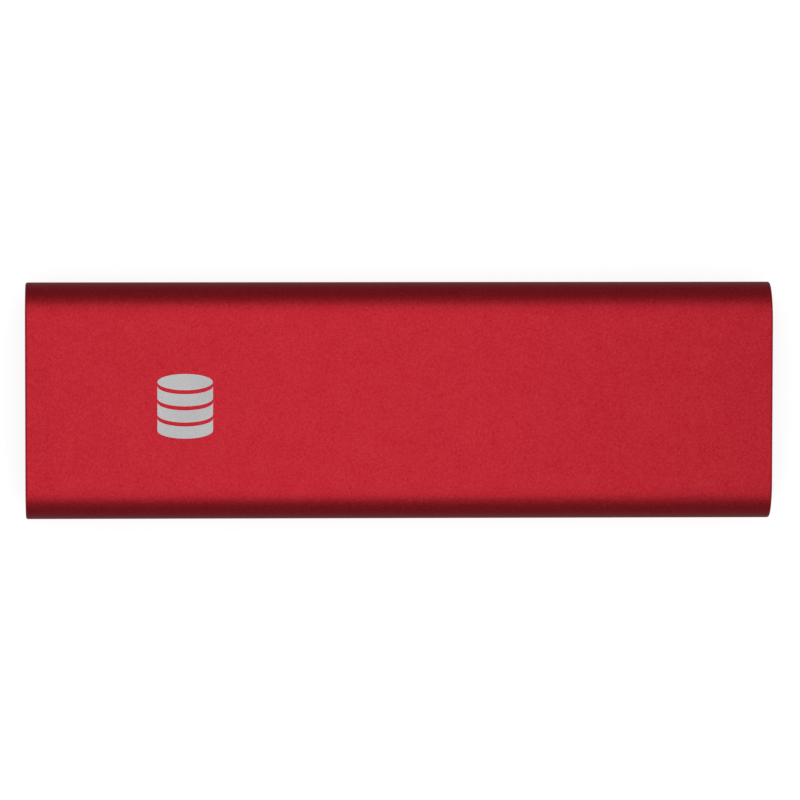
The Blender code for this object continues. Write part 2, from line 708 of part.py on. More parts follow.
def make_drive():
    make_shell()
    make_insulator_sheet()

    rear_cap = make_rear_cap()
    rear_screws = [make_case_screw(f"rear_screw_{side}", -1, sign * BOSS_Y) for side, sign in SIDES]
    hang_on("rear_cap_slide", (-CAP_BACK_X, 0, MID_Z), rear_cap, *rear_screws)

    drawer = [make_front_cap(), make_light_pipe(), make_bridge_board(), make_usb_shell(), make_usb_tongue()]
    drawer += [make_case_screw(f"front_screw_{side}", 1, sign * BOSS_Y) for side, sign in SIDES]
    drawer += [make_board_screw(f"board_screw_{side}", sign * LUG_Y) for side, sign in SIDES]
    drawer += make_small_parts(BOARD_PARTS_MM, BOARD_CAPACITORS_MM, "board", ON_BOARD)
    drawer += [make_module_socket(), make_module_board(), make_standoff(), make_module_screw()]
    module_parts = make_small_parts(MODULE_PARTS_MM, MODULE_CAPACITORS_MM, "module", ON_MODULE)
    bpy.context.view_layer.update()
    drawer += module_parts + [make_thermal_pad(module_parts[0])]
    hang_on("drawer_slide", (CAP_BACK_X, 0, MID_Z), *drawer)
    shade_cut_pieces()


make_drive()
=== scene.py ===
"""The look of the pocket solid state drive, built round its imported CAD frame.

Each piece stands for the CAD node that it replaces, in the same place, and rides on that node's body.
Units are metres and +Z is up. The drive lies on its broad face with its USB port at +X.
"""

import math

import bmesh
import bpy
from mathutils import Matrix, Vector
from mathutils.geometry import tessellate_polygon


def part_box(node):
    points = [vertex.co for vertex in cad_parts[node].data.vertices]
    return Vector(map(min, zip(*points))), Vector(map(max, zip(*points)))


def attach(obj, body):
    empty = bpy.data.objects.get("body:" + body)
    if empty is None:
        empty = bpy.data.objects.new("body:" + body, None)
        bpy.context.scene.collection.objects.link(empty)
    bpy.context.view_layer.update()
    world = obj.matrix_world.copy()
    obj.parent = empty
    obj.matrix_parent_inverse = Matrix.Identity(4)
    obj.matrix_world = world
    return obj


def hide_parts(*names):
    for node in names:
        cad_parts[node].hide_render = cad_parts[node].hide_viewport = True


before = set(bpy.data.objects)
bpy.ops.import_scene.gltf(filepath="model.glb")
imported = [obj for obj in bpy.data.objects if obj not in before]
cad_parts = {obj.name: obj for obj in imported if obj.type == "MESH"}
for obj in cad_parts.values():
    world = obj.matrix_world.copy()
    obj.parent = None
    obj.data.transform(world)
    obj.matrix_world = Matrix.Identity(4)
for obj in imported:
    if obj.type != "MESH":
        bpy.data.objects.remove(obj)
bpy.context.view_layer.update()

MM = 0.001
SIGNS = (1, -1)
SIDES = (("left", 1), ("right", -1))

# ---- Sizes that the frame's boxes give ----
SHELL_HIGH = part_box("outer_shell")[1]
SHELL_END = SHELL_HIGH.x
HEIGHT = SHELL_HIGH.z
MID_Z = HEIGHT / 2
SIDE_RADIUS = HEIGHT / 2
SIDE_Y = SHELL_HIGH.y - SIDE_RADIUS
BOARD_LOW, BOARD_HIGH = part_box("bridge_board")
BOARD_Z, BOARD_TOP = BOARD_LOW.z, BOARD_HIGH.z
MODULE_LOW, MODULE_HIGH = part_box("module_board")
MODULE_Z, MODULE_TOP = MODULE_LOW.z, MODULE_HIGH.z
MODULE_REAR_X, MODULE_FRONT_X = MODULE_LOW.x, MODULE_HIGH.x
CAP_BACK_X, CAP_FACE_X = -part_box("rear_cap")[1].x, -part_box("rear_cap")[0].x
USB_REAR_X, USB_FRONT_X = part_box("usb_shell")[0].x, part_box("usb_shell")[1].x
ON_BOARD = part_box("bridge_controller")[0].z
ON_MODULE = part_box("flash_controller")[0].z

# ---- Sizes repeated from the CAD ----
SHELL_EDGE = 0.3 * MM
CAVITY_RADIUS = SIDE_RADIUS - 1.1 * MM
BOSS_Y = 13.5 * MM
BOSS_RADIUS = 1.5 * MM
BOSS_HOLE_RADIUS = 0.85 * MM
LEDGE_TOP_Z = 2.72 * MM
LEDGE_Y = 12.2 * MM
POCKET_DEPTH = 1.7 * MM
POCKET_RIM = 0.8 * MM
CAP_RADIUS = 4.6 * MM
CAP_EDGE = 0.15 * MM
COUNTERSINK_RADIUS = 1.75 * MM
CAP_HOLE_RADIUS = 1.0 * MM
LUG_Y = 9.4 * MM
LUG_HALF_WIDTH, LUG_REAR_X, LUG_TOP_Z, LUG_EDGE = 2.1 * MM, 44.0 * MM, 7.3 * MM, 0.3 * MM
LUG_ROOT = 0.5 * MM  # how far the lugs run into the cap
LUG_HOLE_RADIUS, LUG_HOLE_TOP_Z = 0.65 * MM, 6.4 * MM
BOARD_SCREW_X = 46.8 * MM
USB_RADIUS = 1.58 * MM
USB_SIDE_Y = 2.89 * MM
USB_SLOT_CLEARANCE = 0.17 * MM
LIGHT_Y = 6.2 * MM
SOLDER_GAP = 0.05 * MM  # left under each soldered part

# ---- How finely round shapes are cut ----
SIDE_STEPS = 96  # in a half turn of the shell's side
ROUND_STEPS = 48
SMALL_STEPS = 24
TINY_STEPS = 12
CORNER_STEPS = 6
PAST = 1.0 * MM  # how far a cutter runs past the wall that it cuts
SHARP_ANGLE = math.radians(32)
SLIVER = 0.0002 * MM  # an edge shorter than this is removed after a cut


# ---- Nodes ----


def node(tree, kind, inputs=None, **settings):
    """Adds a shader node. Each input is a value, or the output that feeds it."""
    made = tree.nodes.new("ShaderNode" + kind)
    for name, value in settings.items():
        setattr(made, name, value)
    for name, value in (inputs or {}).items():
        if isinstance(value, bpy.types.NodeSocket):
            tree.links.new(value, made.inputs[name])
        else:
            made.inputs[name].default_value = value
    return made


def reckoned(tree, operation, *values, kind="Math"):
    return node(tree, kind, dict(enumerate(values)), operation=operation).outputs[0]


def remapped(tree, value, source, target=(0.0, 1.0), interpolation="LINEAR"):
    """Maps one span of values onto another, and holds it there beyond the ends."""
    names = ("Value", "From Min", "From Max", "To Min", "To Max")
    inputs = dict(zip(names, (value, *source, *target)))
    return node(tree, "MapRange", inputs, interpolation_type=interpolation).outputs[0]


def set_sockets(shader, values):
    for socket, value in values.items():
        shader.inputs[socket].default_value = value


# ---- Camera, light and floor ----

CAMERA_DISTANCE = 0.873
CAMERA_TURN = (2.39, 4.21, -0.07)  # yaw, pitch and roll of the drive in front of the camera, in degrees
CAMERA_OFFSET = Vector((-0.02, -0.43, 0.0)) * MM
CAMERA_LENS, CAMERA_SENSOR = 280.0, 36.0
CAMERA_CLIP = (0.02, 50.0)


def make_camera():
    """Nearly square-on above the broad face. A camera looks along its own -Z."""
    yaw, pitch, roll = (math.radians(angle) for angle in CAMERA_TURN)
    turn = Matrix.Rotation(roll, 3, "Z") @ Matrix.Rotation(pitch, 3, "X") @ Matrix.Rotation(yaw, 3, "Y")
    data = bpy.data.cameras.new("photo_camera")
    data.lens = CAMERA_LENS
    data.sensor_width = CAMERA_SENSOR
    data.clip_start, data.clip_end = CAMERA_CLIP
    camera = bpy.data.objects.new("photo_camera", data)
    bpy.context.scene.collection.objects.link(camera)
    back = turn.transposed()
    place = back @ (Vector((0, 0, CAMERA_DISTANCE)) - CAMERA_OFFSET) + Vector((0, 0, HEIGHT))
    camera.matrix_world = Matrix.Translation(place) @ back.to_4x4()
    bpy.context.scene.camera = camera


DOME_RISE = (0.05, 0.55)  # between these heights on the unit sphere the dome brightens
DOME_GLOW = (0.215, 0.40)  # from this to this
END_REACH = (0.55, 0.95)  # and between these distances along X it gains
END_GLOW = (0.0, 0.34)  # this much towards the drive's two ends
BACKDROP = 1.0


def make_world():
    """A dome that is bright overhead and dim at the horizon, in front of a plain white backdrop."""
    world = bpy.data.worlds.new("studio")
    bpy.context.scene.world = world
    world.use_nodes = True
    tree = world.node_tree
    where = node(tree, "TexCoord").outputs["Generated"]
    split = node(tree, "SeparateXYZ", {0: where}).outputs
    rise = remapped(tree, split["Z"], DOME_RISE, DOME_GLOW, "SMOOTHSTEP")
    ends = remapped(tree, reckoned(tree, "ABSOLUTE", split["X"]), END_REACH, END_GLOW, "SMOOTHSTEP")
    dome = reckoned(tree, "ADD", rise, ends)
    to_camera = node(tree, "LightPath").outputs["Is Camera Ray"]
    seen = node(tree, "Mix", {"Factor": to_camera, "A": dome, "B": BACKDROP}, data_type="FLOAT")
    background = tree.nodes["Background"]
    background.inputs["Color"].default_value = (1, 1, 1, 1)
    tree.links.new(seen.outputs[0], background.inputs["Strength"])


PANEL_PLACE = (-0.010, 0.0, 0.30)
PANEL_SIZE = (0.22, 0.85)
PANEL_POWER = 0.485


def make_panel():
    """One soft panel above the drive. It faces straight down."""
    data = bpy.data.lights.new("key_panel", "AREA")
    data.shape = "RECTANGLE"
    data.size, data.size_y = PANEL_SIZE
    data.energy = PANEL_POWER
    panel = bpy.data.objects.new("key_panel", data)
    bpy.context.scene.collection.objects.link(panel)
    panel.location = PANEL_PLACE
    panel.visible_camera = False


FLOOR_SIZE = 6.0
FLOOR_LOOK = {
    "Base Color": (0.45, 0.45, 0.45, 1),
    "Roughness": 0.9,
    "Specular IOR Level": 0.0,
    "Emission Color": (1, 1, 1, 1),
    "Emission Strength": 0.78,
}


def make_floor():
    bpy.ops.mesh.primitive_plane_add(size=FLOOR_SIZE, location=(0, 0, 0))
    floor = bpy.context.active_object
    floor.name = "floor"
    material = bpy.data.materials.new("light_table")
    material.use_nodes = True
    set_sockets(material.node_tree.nodes["Principled BSDF"], FLOOR_LOOK)
    floor.data.materials.append(material)
    floor.visible_glossy = False


# ---- Finishes ----

NOISE_ROUGHNESS = 0.6
NOISE_MIDDLE = (0.3, 0.7)
GLOSS_SPREAD = 0.08
WORN_PATCH, WORN_SPAN = 0.9, (0.42, 0.62)  # size in millimetres, and the part of the noise that shows wear
LAYER_SIZE, LAYER_STRETCH = 0.25, (0.15, 0.15, 1.6)
LAYER_SHADES = (0.75, 1.15)


def noise(tree, where, size, detail=2.0, stretch=None):
    """Noise whose features are about this many millimetres across."""
    if stretch:
        where = reckoned(tree, "MULTIPLY", where, stretch, kind="VectorMath")
    inputs = {"Vector": where, "Scale": 1 / (size * MM), "Detail": detail, "Roughness": NOISE_ROUGHNESS}
    return node(tree, "TexNoise", inputs).outputs["Fac"]


def spread(tree, value, low=0.0, high=1.0):
    """Maps the middle of a noise onto low to high."""
    return remapped(tree, value, NOISE_MIDDLE, (low, high))


def blended(tree, factor, first, second):
    made = node(tree, "Mix", {"Factor": factor}, data_type="RGBA")
    for socket, value in ((made.inputs[6], first), (made.inputs[7], second)):
        if isinstance(value, bpy.types.NodeSocket):
            tree.links.new(value, socket)
        else:
            socket.default_value = (*value, 1.0)
    return made.outputs[2]


def shades(tree, factor, colour, dark, light):
    """Runs from a darker to a lighter shade of one colour."""
    pair = [tuple(min(1.0, part * share) for part in colour) for share in (dark, light)]
    return blended(tree, factor, *pair)


def finish(name, colour, roughness, metallic=0.0, mottle=(0.4, 0.06), drift=(6.0, 0.04), grain=(0.1, 0.01),
           stretch=None, blasted=None, painted_sparkle_grey=0.0, worn=None, side=None, sockets=None):
    """A material with the fine detail of a real surface, and painted sparkle where it is blasted. Sizes are
    in millimetres.

    mottle is the size and share of small colour changes, and drift those of broad ones. grain is the size
    and height of the bumps, and stretch draws the grain out. blasted is the size of the crisp dents that
    blasting leaves, the share by which each dent's colour is lightened or darkened as painted sparkle, and
    the dents' depth. painted_sparkle_grey is how much grey takes part in these changes, so that the lighter
    specks come out paler: painted sparkle, a neutral highlight over the dyed colour. worn is the colour that
    shows on rubbed edges. side is the colour of a laminate's cut edges, where its layers show. sockets holds
    the shader's other values.
    """
    material = bpy.data.materials.new(name)
    material.use_nodes = True
    tree = material.node_tree
    shader = tree.nodes["Principled BSDF"]
    where = node(tree, "TexCoord").outputs["Object"]
    small = noise(tree, where, mottle[0])
    # Grey is added here and taken off again below, so that the lighter specks come out paler: painted
    # sparkle, a neutral highlight over the dyed colour.
    sparkle_greyed = [part + painted_sparkle_grey for part in colour]
    paint = shades(tree, spread(tree, small), sparkle_greyed, 1 - mottle[1], 1 + mottle[1])
    patch = spread(tree, noise(tree, where, drift[0], 1.0), 1 - drift[1], 1 + drift[1])
    if blasted:
        size, share, height = blasted
        dents = node(tree, "TexVoronoi", {"Vector": where, "Scale": 1 / (size * MM)}).outputs
        # Each dent's colour is lightened or darkened by the share: painted sparkle, specks of highlight put
        # into the base colour.
        painted_glint = remapped(tree, dents["Color"], (0.0, 1.0), (1 - share, 1 + share))
        patch = reckoned(tree, "MULTIPLY", patch, painted_glint)
        bumps = dents["Distance"]
    else:
        size, height = grain
        bumps = noise(tree, where, size, 3.0, stretch)
    paint = node(tree, "VectorMath", {0: paint, "Scale": patch}, operation="SCALE").outputs[0]
    if painted_sparkle_grey:
        paint = reckoned(tree, "SUBTRACT", paint, [painted_sparkle_grey] * 3, kind="VectorMath")
    if worn:
        rubbed = node(tree, "Attribute", attribute_name="worn").outputs["Fac"]
        patchy = remapped(tree, noise(tree, where, WORN_PATCH, 4.0), WORN_SPAN)
        paint = blended(tree, reckoned(tree, "MULTIPLY", rubbed, patchy), paint, worn)
    if side:
        facing = node(tree, "NewGeometry").outputs["True Normal"]
        upright = node(tree, "SeparateXYZ", {0: facing}).outputs["Z"]
        cut = reckoned(tree, "LESS_THAN", reckoned(tree, "ABSOLUTE", upright), 0.5)
        layers = noise(tree, where, LAYER_SIZE, 2.0, LAYER_STRETCH)
        paint = blended(tree, cut, paint, shades(tree, spread(tree, layers), side, *LAYER_SHADES))
    gloss = spread(tree, small, roughness * (1 - GLOSS_SPREAD), roughness * (1 + GLOSS_SPREAD))
    bump = node(tree, "Bump", {"Strength": 1.0, "Distance": height * MM, "Height": bumps}).outputs[0]
    for output, socket in ((paint, "Base Color"), (gloss, "Roughness"), (bump, "Normal")):
        tree.links.new(output, shader.inputs[socket])
    set_sockets(shader, {"Metallic": metallic, **(sockets or {})})
    return material


MASK_COAT = {"Coat Weight": 0.12, "Coat Roughness": 0.2}
LOOKS = {
    # name: the record's slot, colour, roughness, and what differs from the usual
    # The share in each blasted entry paints sparkle into the colour. anodised_red's grey makes its lighter
    # specks paler, as a painted neutral highlight.
    "anodised_red": ("anodised_shell", (0.517, 0.0226, 0.0354), 0.38, dict(
        metallic=1.0, mottle=(0.36, 0.055), drift=(3.0, 0.013), blasted=(0.09, 0.11, 0.005), painted_sparkle_grey=0.085)),
    "mark_silver": ("anodised_shell", (0.56, 0.56, 0.56), 0.5, dict(
        metallic=1.0, mottle=(0.3, 0.05), blasted=(0.09, 0.1, 0.004))),
    "cap_plastic": ("cap_plastic", (0.026, 0.026, 0.028), 0.44, dict(
        mottle=(0.5, 0.08), blasted=(0.13, 0.12, 0.012), worn=(0.05, 0.05, 0.052))),
    "black_steel": ("black_screw_steel", (0.045, 0.045, 0.048), 0.34, dict(
        metallic=1.0, mottle=(0.2, 0.1), grain=(0.08, 0.004), worn=(0.35, 0.34, 0.33))),
    "steel": ("bright_steel", (0.60, 0.60, 0.62), 0.26, dict(
        metallic=1.0, mottle=(0.5, 0.04), grain=(0.1, 0.003), stretch=(0.12, 1, 1), worn=(0.8, 0.8, 0.8))),
    "gold": ("bright_steel", (0.88, 0.62, 0.22), 0.24, dict(
        metallic=1.0, mottle=(0.3, 0.05), grain=(0.1, 0.003))),
    "lens": ("clear_plastic", (0.9, 0.92, 0.94), 0.38, dict(
        mottle=(0.3, 0.02), grain=(0.15, 0.01), sockets={"Transmission Weight": 0.75, "IOR": 1.49})),
    "solder_mask": ("board_laminate", (0.005, 0.062, 0.026), 0.33, dict(
        mottle=(0.5, 0.1), drift=(7.0, 0.08), grain=(0.25, 0.006), side=(0.34, 0.29, 0.15),
        sockets=MASK_COAT)),
    "masked_copper": ("board_laminate", (0.03, 0.19, 0.07), 0.3, dict(
        mottle=(0.3, 0.08), grain=(0.2, 0.006), sockets=MASK_COAT)),
    "ink": ("board_laminate", (0.62, 0.63, 0.6), 0.6, dict(mottle=(0.15, 0.08), grain=(0.06, 0.008))),
    "epoxy": ("chip_epoxy", (0.022, 0.022, 0.024), 0.55, dict(
        mottle=(0.12, 0.2), drift=(5.0, 0.06), grain=(0.07, 0.012), worn=(0.06, 0.06, 0.062))),
    "ferrite": ("ferrite", (0.095, 0.095, 0.1), 0.62, dict(
        mottle=(0.15, 0.2), grain=(0.09, 0.02), worn=(0.17, 0.17, 0.17))),
    "ceramic": ("ceramic", (0.38, 0.25, 0.14), 0.42, dict(
        mottle=(0.2, 0.1), drift=(2.0, 0.12), grain=(0.07, 0.006))),
    "resistor_black": ("ceramic", (0.03, 0.03, 0.034), 0.4, dict(mottle=(0.15, 0.1), grain=(0.07, 0.006))),
    "tin": ("bright_steel", (0.68, 0.68, 0.69), 0.34, dict(
        metallic=1.0, mottle=(0.18, 0.08), grain=(0.12, 0.012))),
    "brass": ("standoff_brass", (0.78, 0.58, 0.27), 0.3, dict(
        metallic=1.0, mottle=(0.3, 0.06), grain=(0.12, 0.006), stretch=(1, 1, 6), worn=(0.9, 0.78, 0.5))),
    "silicone": ("thermal_silicone", (0.33, 0.4, 0.48), 0.82, dict(
        mottle=(0.5, 0.06), drift=(4.0, 0.06), grain=(0.3, 0.05), sockets={"Sheen Weight": 0.15})),
    "film": ("insulator_film", (0.035, 0.035, 0.038), 0.3, dict(
        mottle=(0.8, 0.1), drift=(12.0, 0.1), grain=(2.5, 0.02))),
    "lamp_white": ("clear_plastic", (0.75, 0.75, 0.73), 0.45, dict(mottle=(0.3, 0.03), grain=(0.1, 0.004))),
    "lamp_yellow": ("clear_plastic", (0.78, 0.62, 0.16), 0.2, dict(
        mottle=(0.2, 0.05), grain=(0.1, 0.003), sockets={"Coat Weight": 0.6})),
    "socket_plastic": ("connector_plastic", (0.022, 0.022, 0.023), 0.48, dict(
        mottle=(0.3, 0.1), grain=(0.1, 0.006), worn=(0.045, 0.045, 0.045))),
}
FINISHES = {name: finish(name, colour, shine, **more) for name, (_, colour, shine, more) in LOOKS.items()}


# ---- Outlines ----


def millimetres(points):
    return [(x * MM, y * MM) for x, y in points]


def about(centre, half):
    return (centre - half, centre + half)


def row(count, pitch):
    return [(i - (count - 1) / 2) * pitch for i in range(count)]


def arc(centre, radius, start, end, steps):
    """Points along a circle from one angle to another, in degrees, both ends included."""
    angles = [math.radians(start + (end - start) * i / steps) for i in range(steps + 1)]
    return [(centre[0] + radius * math.cos(a), centre[1] + radius * math.sin(a)) for a in angles]


def circle(centre, radius, steps=SMALL_STEPS):
    return arc(centre, radius, 0, 360, steps)[:-1]


def bullnose(radius, side_y, steps):
    """A bar's outline with a half-round at each side, whose centre lies side_y out."""
    return arc((side_y, MID_Z), radius, -90, 90, steps) + arc((-side_y, MID_Z), radius, 90, 270, steps)


def rounding(x, radius, edge, inward, steps=5):
    """Points of (x, radius) round an outer edge, from end face to side. inward is the way back in."""
    points = []
    for i in range(steps + 1):
        angle = math.pi / 2 * i / steps
        points.append((x + inward * edge * (1 - math.sin(angle)), radius - edge * (1 - math.cos(angle))))
    return points[::-1]


def rounded_rectangle(low, high, radius, steps=3, inset=0.0):
    """The outline of a box seen from above, drawn in by the inset."""
    x0, y0, x1, y1 = low[0] + inset, low[1] + inset, high[0] - inset, high[1] - inset
    points = []
    for x, y, start in ((x1, y1, 0), (x0, y1, 90), (x0, y0, 180), (x1, y0, 270)):
        inset_x = x - math.copysign(radius, x - (x0 + x1) / 2)
        inset_y = y - math.copysign(radius, y - (y0 + y1) / 2)
        points += arc((inset_x, inset_y), radius, start, start + 90, steps)
    return points


# ---- Meshes ----

AXES = {
    "X": Matrix(((0, 0, 1, 0), (1, 0, 0, 0), (0, 1, 0, 0), (0, 0, 0, 1))),
    "Z": Matrix.Identity(4),
}
FACING = {
    "+X": Matrix.Rotation(math.pi / 2, 4, "Y"),
    "-X": Matrix.Rotation(-math.pi / 2, 4, "Y"),
    "+Z": Matrix.Identity(4),
    "-Z": Matrix.Rotation(math.pi, 4, "X"),
}
BEND_ANGLE = 0.3  # in radians, the least between faces at an edge that rubs
THREAD_RIDGE = ((0.94, 0.0, -0.46), (0.0, 1.0, -0.09), (0.0, 1.0, 0.09), (0.94, 0.0, 0.46))
THREAD_FADE = 1.5
LEAST_MITRE = 0.3


def stood(location, facing="+Z"):
    """The matrix that stands a turned shape at a place, with its own +Z facing the way named."""
    return Matrix.Translation(location) @ FACING[facing]


class Form:
    """Closed solids that are gathered into one mesh."""

    def __init__(self):
        self.mesh = bmesh.new()
        self.worn = self.mesh.faces.layers.float.new("worn")

    def add(self, verts, faces, matrix=None, edge=0.0, segments=2):
        """Adds one solid, moved by the matrix, with its sharp edges rounded if an edge width is given."""
        made = [self.mesh.verts.new(matrix @ Vector(co) if matrix else co) for co in verts]
        new_faces = [self.mesh.faces.new([made[i] for i in face]) for face in faces]
        bmesh.ops.recalc_face_normals(self.mesh, faces=new_faces)
        if edge:
            sharp = {e for face in new_faces for e in face.edges if e.calc_face_angle(0) > SHARP_ANGLE}
            rounded = bmesh.ops.bevel(
                self.mesh, geom=list(sharp), offset=edge, segments=segments, profile=0.5, affect="EDGES",
                clamp_overlap=True,
            )
            for face in rounded["faces"]:
                face[self.worn] = 1.0
        return self

    def rub(self, width):
        """Marks the narrow faces beside sharp edges, where a finish wears through first."""
        for face in self.mesh.faces:
            longest = max(edge.calc_length() for edge in face.edges)
            bent = any(edge.calc_face_angle(0) > BEND_ANGLE for edge in face.edges)
            if bent and face.calc_area() < width * longest:
                face[self.worn] = 1.0
        return self

    def box(self, xs, ys, zs, edge=0.0, segments=2):
        """A block between two values along each axis, given in either order."""
        corners = [(x, y, z) for x in sorted(xs) for y in sorted(ys) for z in sorted(zs)]
        faces = [(0, 1, 3, 2), (4, 6, 7, 5), (0, 4, 5, 1), (2, 3, 7, 6), (0, 2, 6, 4), (1, 5, 7, 3)]
        return self.add(corners, faces, None, edge, segments)

    def block(self, low, high, edge=0.0, segments=2):
        return self.box(*zip(low, high), edge, segments)

    def stretch(self, loops, low, high, axis="Z"):
        """A flat outline and its holes, stretched along an axis. Along X it is drawn in Y and Z."""
        flat = [point for loop in loops for point in loop]
        count = len(flat)
        verts = [(u, v, w) for w in (low, high) for u, v in flat]
        if len(loops) == 1:
            caps = [tuple(range(count))]
        else:
            caps = tessellate_polygon([[Vector((u / MM, v / MM, 0)) for u, v in loop] for loop in loops])
        faces = [tuple(cap)[::-1] for cap in caps] + [tuple(i + count for i in cap) for cap in caps]
        start = 0
        for loop in loops:
            around = [start + i for i in range(len(loop))]
            faces += [(a, b, b + count, a + count) for a, b in zip(around, around[1:] + around[:1])]
            start += len(loop)
        return self.add(verts, faces, AXES[axis])

    def loft(self, rings, closed=False, matrix=None):
        """Rings of equal length joined in order. The ends are capped, or joined if the form is closed."""
        count = len(rings[0])
        verts = [point for ring in rings for point in ring]
        last = len(rings) - 1
        pairs = [(a, a + 1) for a in range(last)] + ([(last, 0)] if closed else [])
        faces = []
        for a, b in pairs:
            for i in range(count):
                j = (i + 1) % count
                faces.append((a * count + i, a * count + j, b * count + j, b * count + i))
        if not closed:
            faces += [tuple(range(count))[::-1], tuple(last * count + i for i in range(count))]
        return self.add(verts, faces, matrix)

    def turn(self, profile, matrix=None, steps=ROUND_STEPS, closed=False):
        """A profile of (radius, height) points turned about Z. Its radii are above zero."""
        rings = [[(u, v, height) for u, v in circle((0, 0), radius, steps)] for radius, height in profile]
        return self.loft(rings, closed, matrix)

    def ring(self, x, y, outer, inner, low, steps=TINY_STEPS):
        """A flat ring of copper at a place on a board. Its place and radii are in millimetres."""
        high = low + COPPER_HIGH
        profile = [(inner * MM, low), (outer * MM, low), (outer * MM, high), (inner * MM, high)]
        return self.turn(profile, stood((x * MM, y * MM, 0)), steps, closed=True)

    def bar(self, profile, side_y, steps, closed=False):
        """A profile of (x, radius) points run round a bar with half-round sides."""
        rings = [[(x, y, z) for y, z in bullnose(radius, side_y, steps)] for x, radius in profile]
        return self.loft(rings, closed)

    def stack(self, layers, low, high, radius, steps=3):
        """Rounded rectangles one above the other, each drawn in from the box by its inset."""
        rings = []
        for inset, z in layers:
            rings.append([(x, y, z) for x, y in rounded_rectangle(low, high, radius, steps, inset)])
        return self.loft(rings)

    def thread(self, root, crest, pitch, top, bottom, matrix):
        """A helical ridge on a shank, which fades out at both ends."""
        count = int((top - bottom) / pitch * SMALL_STEPS)
        rings = []
        for i in range(count + 1):
            angle = 2 * math.pi * i / SMALL_STEPS
            height = bottom + (top - bottom) * i / count
            fade = min(1.0, i / SMALL_STEPS * THREAD_FADE, (count - i) / SMALL_STEPS * THREAD_FADE)
            reach = root + (crest - root) * fade
            ring = []
            for of_root, of_reach, rise in THREAD_RIDGE:
                radius = root * of_root + reach * of_reach
                ring.append((radius * math.cos(angle), radius * math.sin(angle), height + rise * pitch))
            rings.append(ring)
        return self.loft(rings, matrix=matrix)

    def strip(self, path, width, low, high):
        """A flat band along a path in X and Y, with mitred corners."""
        left, right = [], []
        for i, point in enumerate(path):
            here = Vector(point)
            before = (here - Vector(path[i - 1])).normalized() if i else None
            after = (Vector(path[i + 1]) - here).normalized() if i + 1 < len(path) else None
            ahead = ((before or after) + (after or before)).normalized()
            mitre = ahead.dot(after or before)
            side = Vector((-ahead.y, ahead.x)) * (width / 2 / max(mitre, LEAST_MITRE))
            left.append(tuple(here + side))
            right.append(tuple(here - side))
        return self.stretch([left + right[::-1]], low, high)


def as_object(form, name):
    mesh = bpy.data.meshes.new(name)
    form.mesh.to_mesh(mesh)
    form.mesh.free()
    obj = bpy.data.objects.new(name, mesh)
    bpy.context.scene.collection.objects.link(obj)
    return obj


def without_slivers(mesh):
    """Removes the tiny edges and loose points that a cut can leave."""
    clean = bmesh.new()
    clean.from_mesh(mesh)
    bmesh.ops.dissolve_degenerate(clean, dist=SLIVER, edges=clean.edges)
    bmesh.ops.delete(clean, geom=[vert for vert in clean.verts if not vert.link_faces], context="VERTS")
    clean.to_mesh(mesh)
    clean.free()


def make_piece(name, form, paint, replaced=None, cutters=(), body="drawer", merge=False):
    """A mesh piece in its place, cut by the forms given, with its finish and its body.

    replaced is the CAD node that it stands for. merge joins a form's overlapping solids as it is cut.
    """
    obj = as_object(form, name)
    if cutters:
        tools = [as_object(cutter, f"{name}_cutter_{i}") for i, cutter in enumerate(cutters)]
        for tool in tools:
            cut = obj.modifiers.new("cut", "BOOLEAN")
            cut.operation, cut.solver, cut.object = "DIFFERENCE", "EXACT", tool
            cut.use_self = merge
        bpy.context.view_layer.update()
        shape = obj.evaluated_get(bpy.context.evaluated_depsgraph_get())
        obj.data = bpy.data.meshes.new_from_object(shape)
        obj.modifiers.clear()
        without_slivers(obj.data)
        for tool in tools:
            bpy.data.meshes.remove(tool.data)
    obj.data.name = name
    obj.data.shade_smooth()
    obj.data.set_sharp_from_angle(angle=SHARP_ANGLE)
    obj.modifiers.new("shading", "WEIGHTED_NORMAL").keep_sharp = True
    obj.data.materials.clear()
    obj.data.materials.append(FINISHES[paint])
    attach(obj, body)
    if replaced:
        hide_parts(replaced)
    return obj


def mouth(inner_x, end_x, radius, side_y, flare, steps, out=1):
    """A bar-shaped cutter that widens where it comes out through an end face."""
    wide = radius + 2 * flare
    profile = [(inner_x, radius), (end_x - out * flare, radius), (end_x + out * flare, wide),
               (end_x + out * PAST, wide)]
    return Form().bar(profile, side_y, steps)


# ---- Shell ----

MARK_X, MARK_Y = -30.1 * MM, -0.4 * MM
MARK_HALF_WIDTH = 3.9 * MM
MARK_HALF_HEIGHT = 4.55 * MM
MARK_BULGE = 1.15 * MM
MARK_GAP = 0.55 * MM
MARK_BANDS = 3
MARK_DEPTH = 0.03 * MM
MARK_FILL = 0.02 * MM
POCKET_FLARE, SLOT_FLARE = 0.12 * MM, 0.2 * MM


def mark_rim(height, start, end):
    turn = arc((0, 0), 1, start, end, SMALL_STEPS)
    return [(MARK_X + MARK_HALF_WIDTH * u, MARK_Y + height + MARK_BULGE * v) for u, v in turn]


def mark_loops():
    """A generic storage sign: a drum drawn as an ellipse over three curved bands."""
    top = MARK_HALF_HEIGHT - MARK_BULGE
    loops = [mark_rim(top, 0, 360)[:-1]]
    band = (2 * top - MARK_BANDS * MARK_GAP) / MARK_BANDS
    for i in range(MARK_BANDS):
        upper = top - MARK_GAP - i * (band + MARK_GAP)
        loops.append(mark_rim(upper, 180, 360) + mark_rim(upper - band, 360, 180))
    return loops


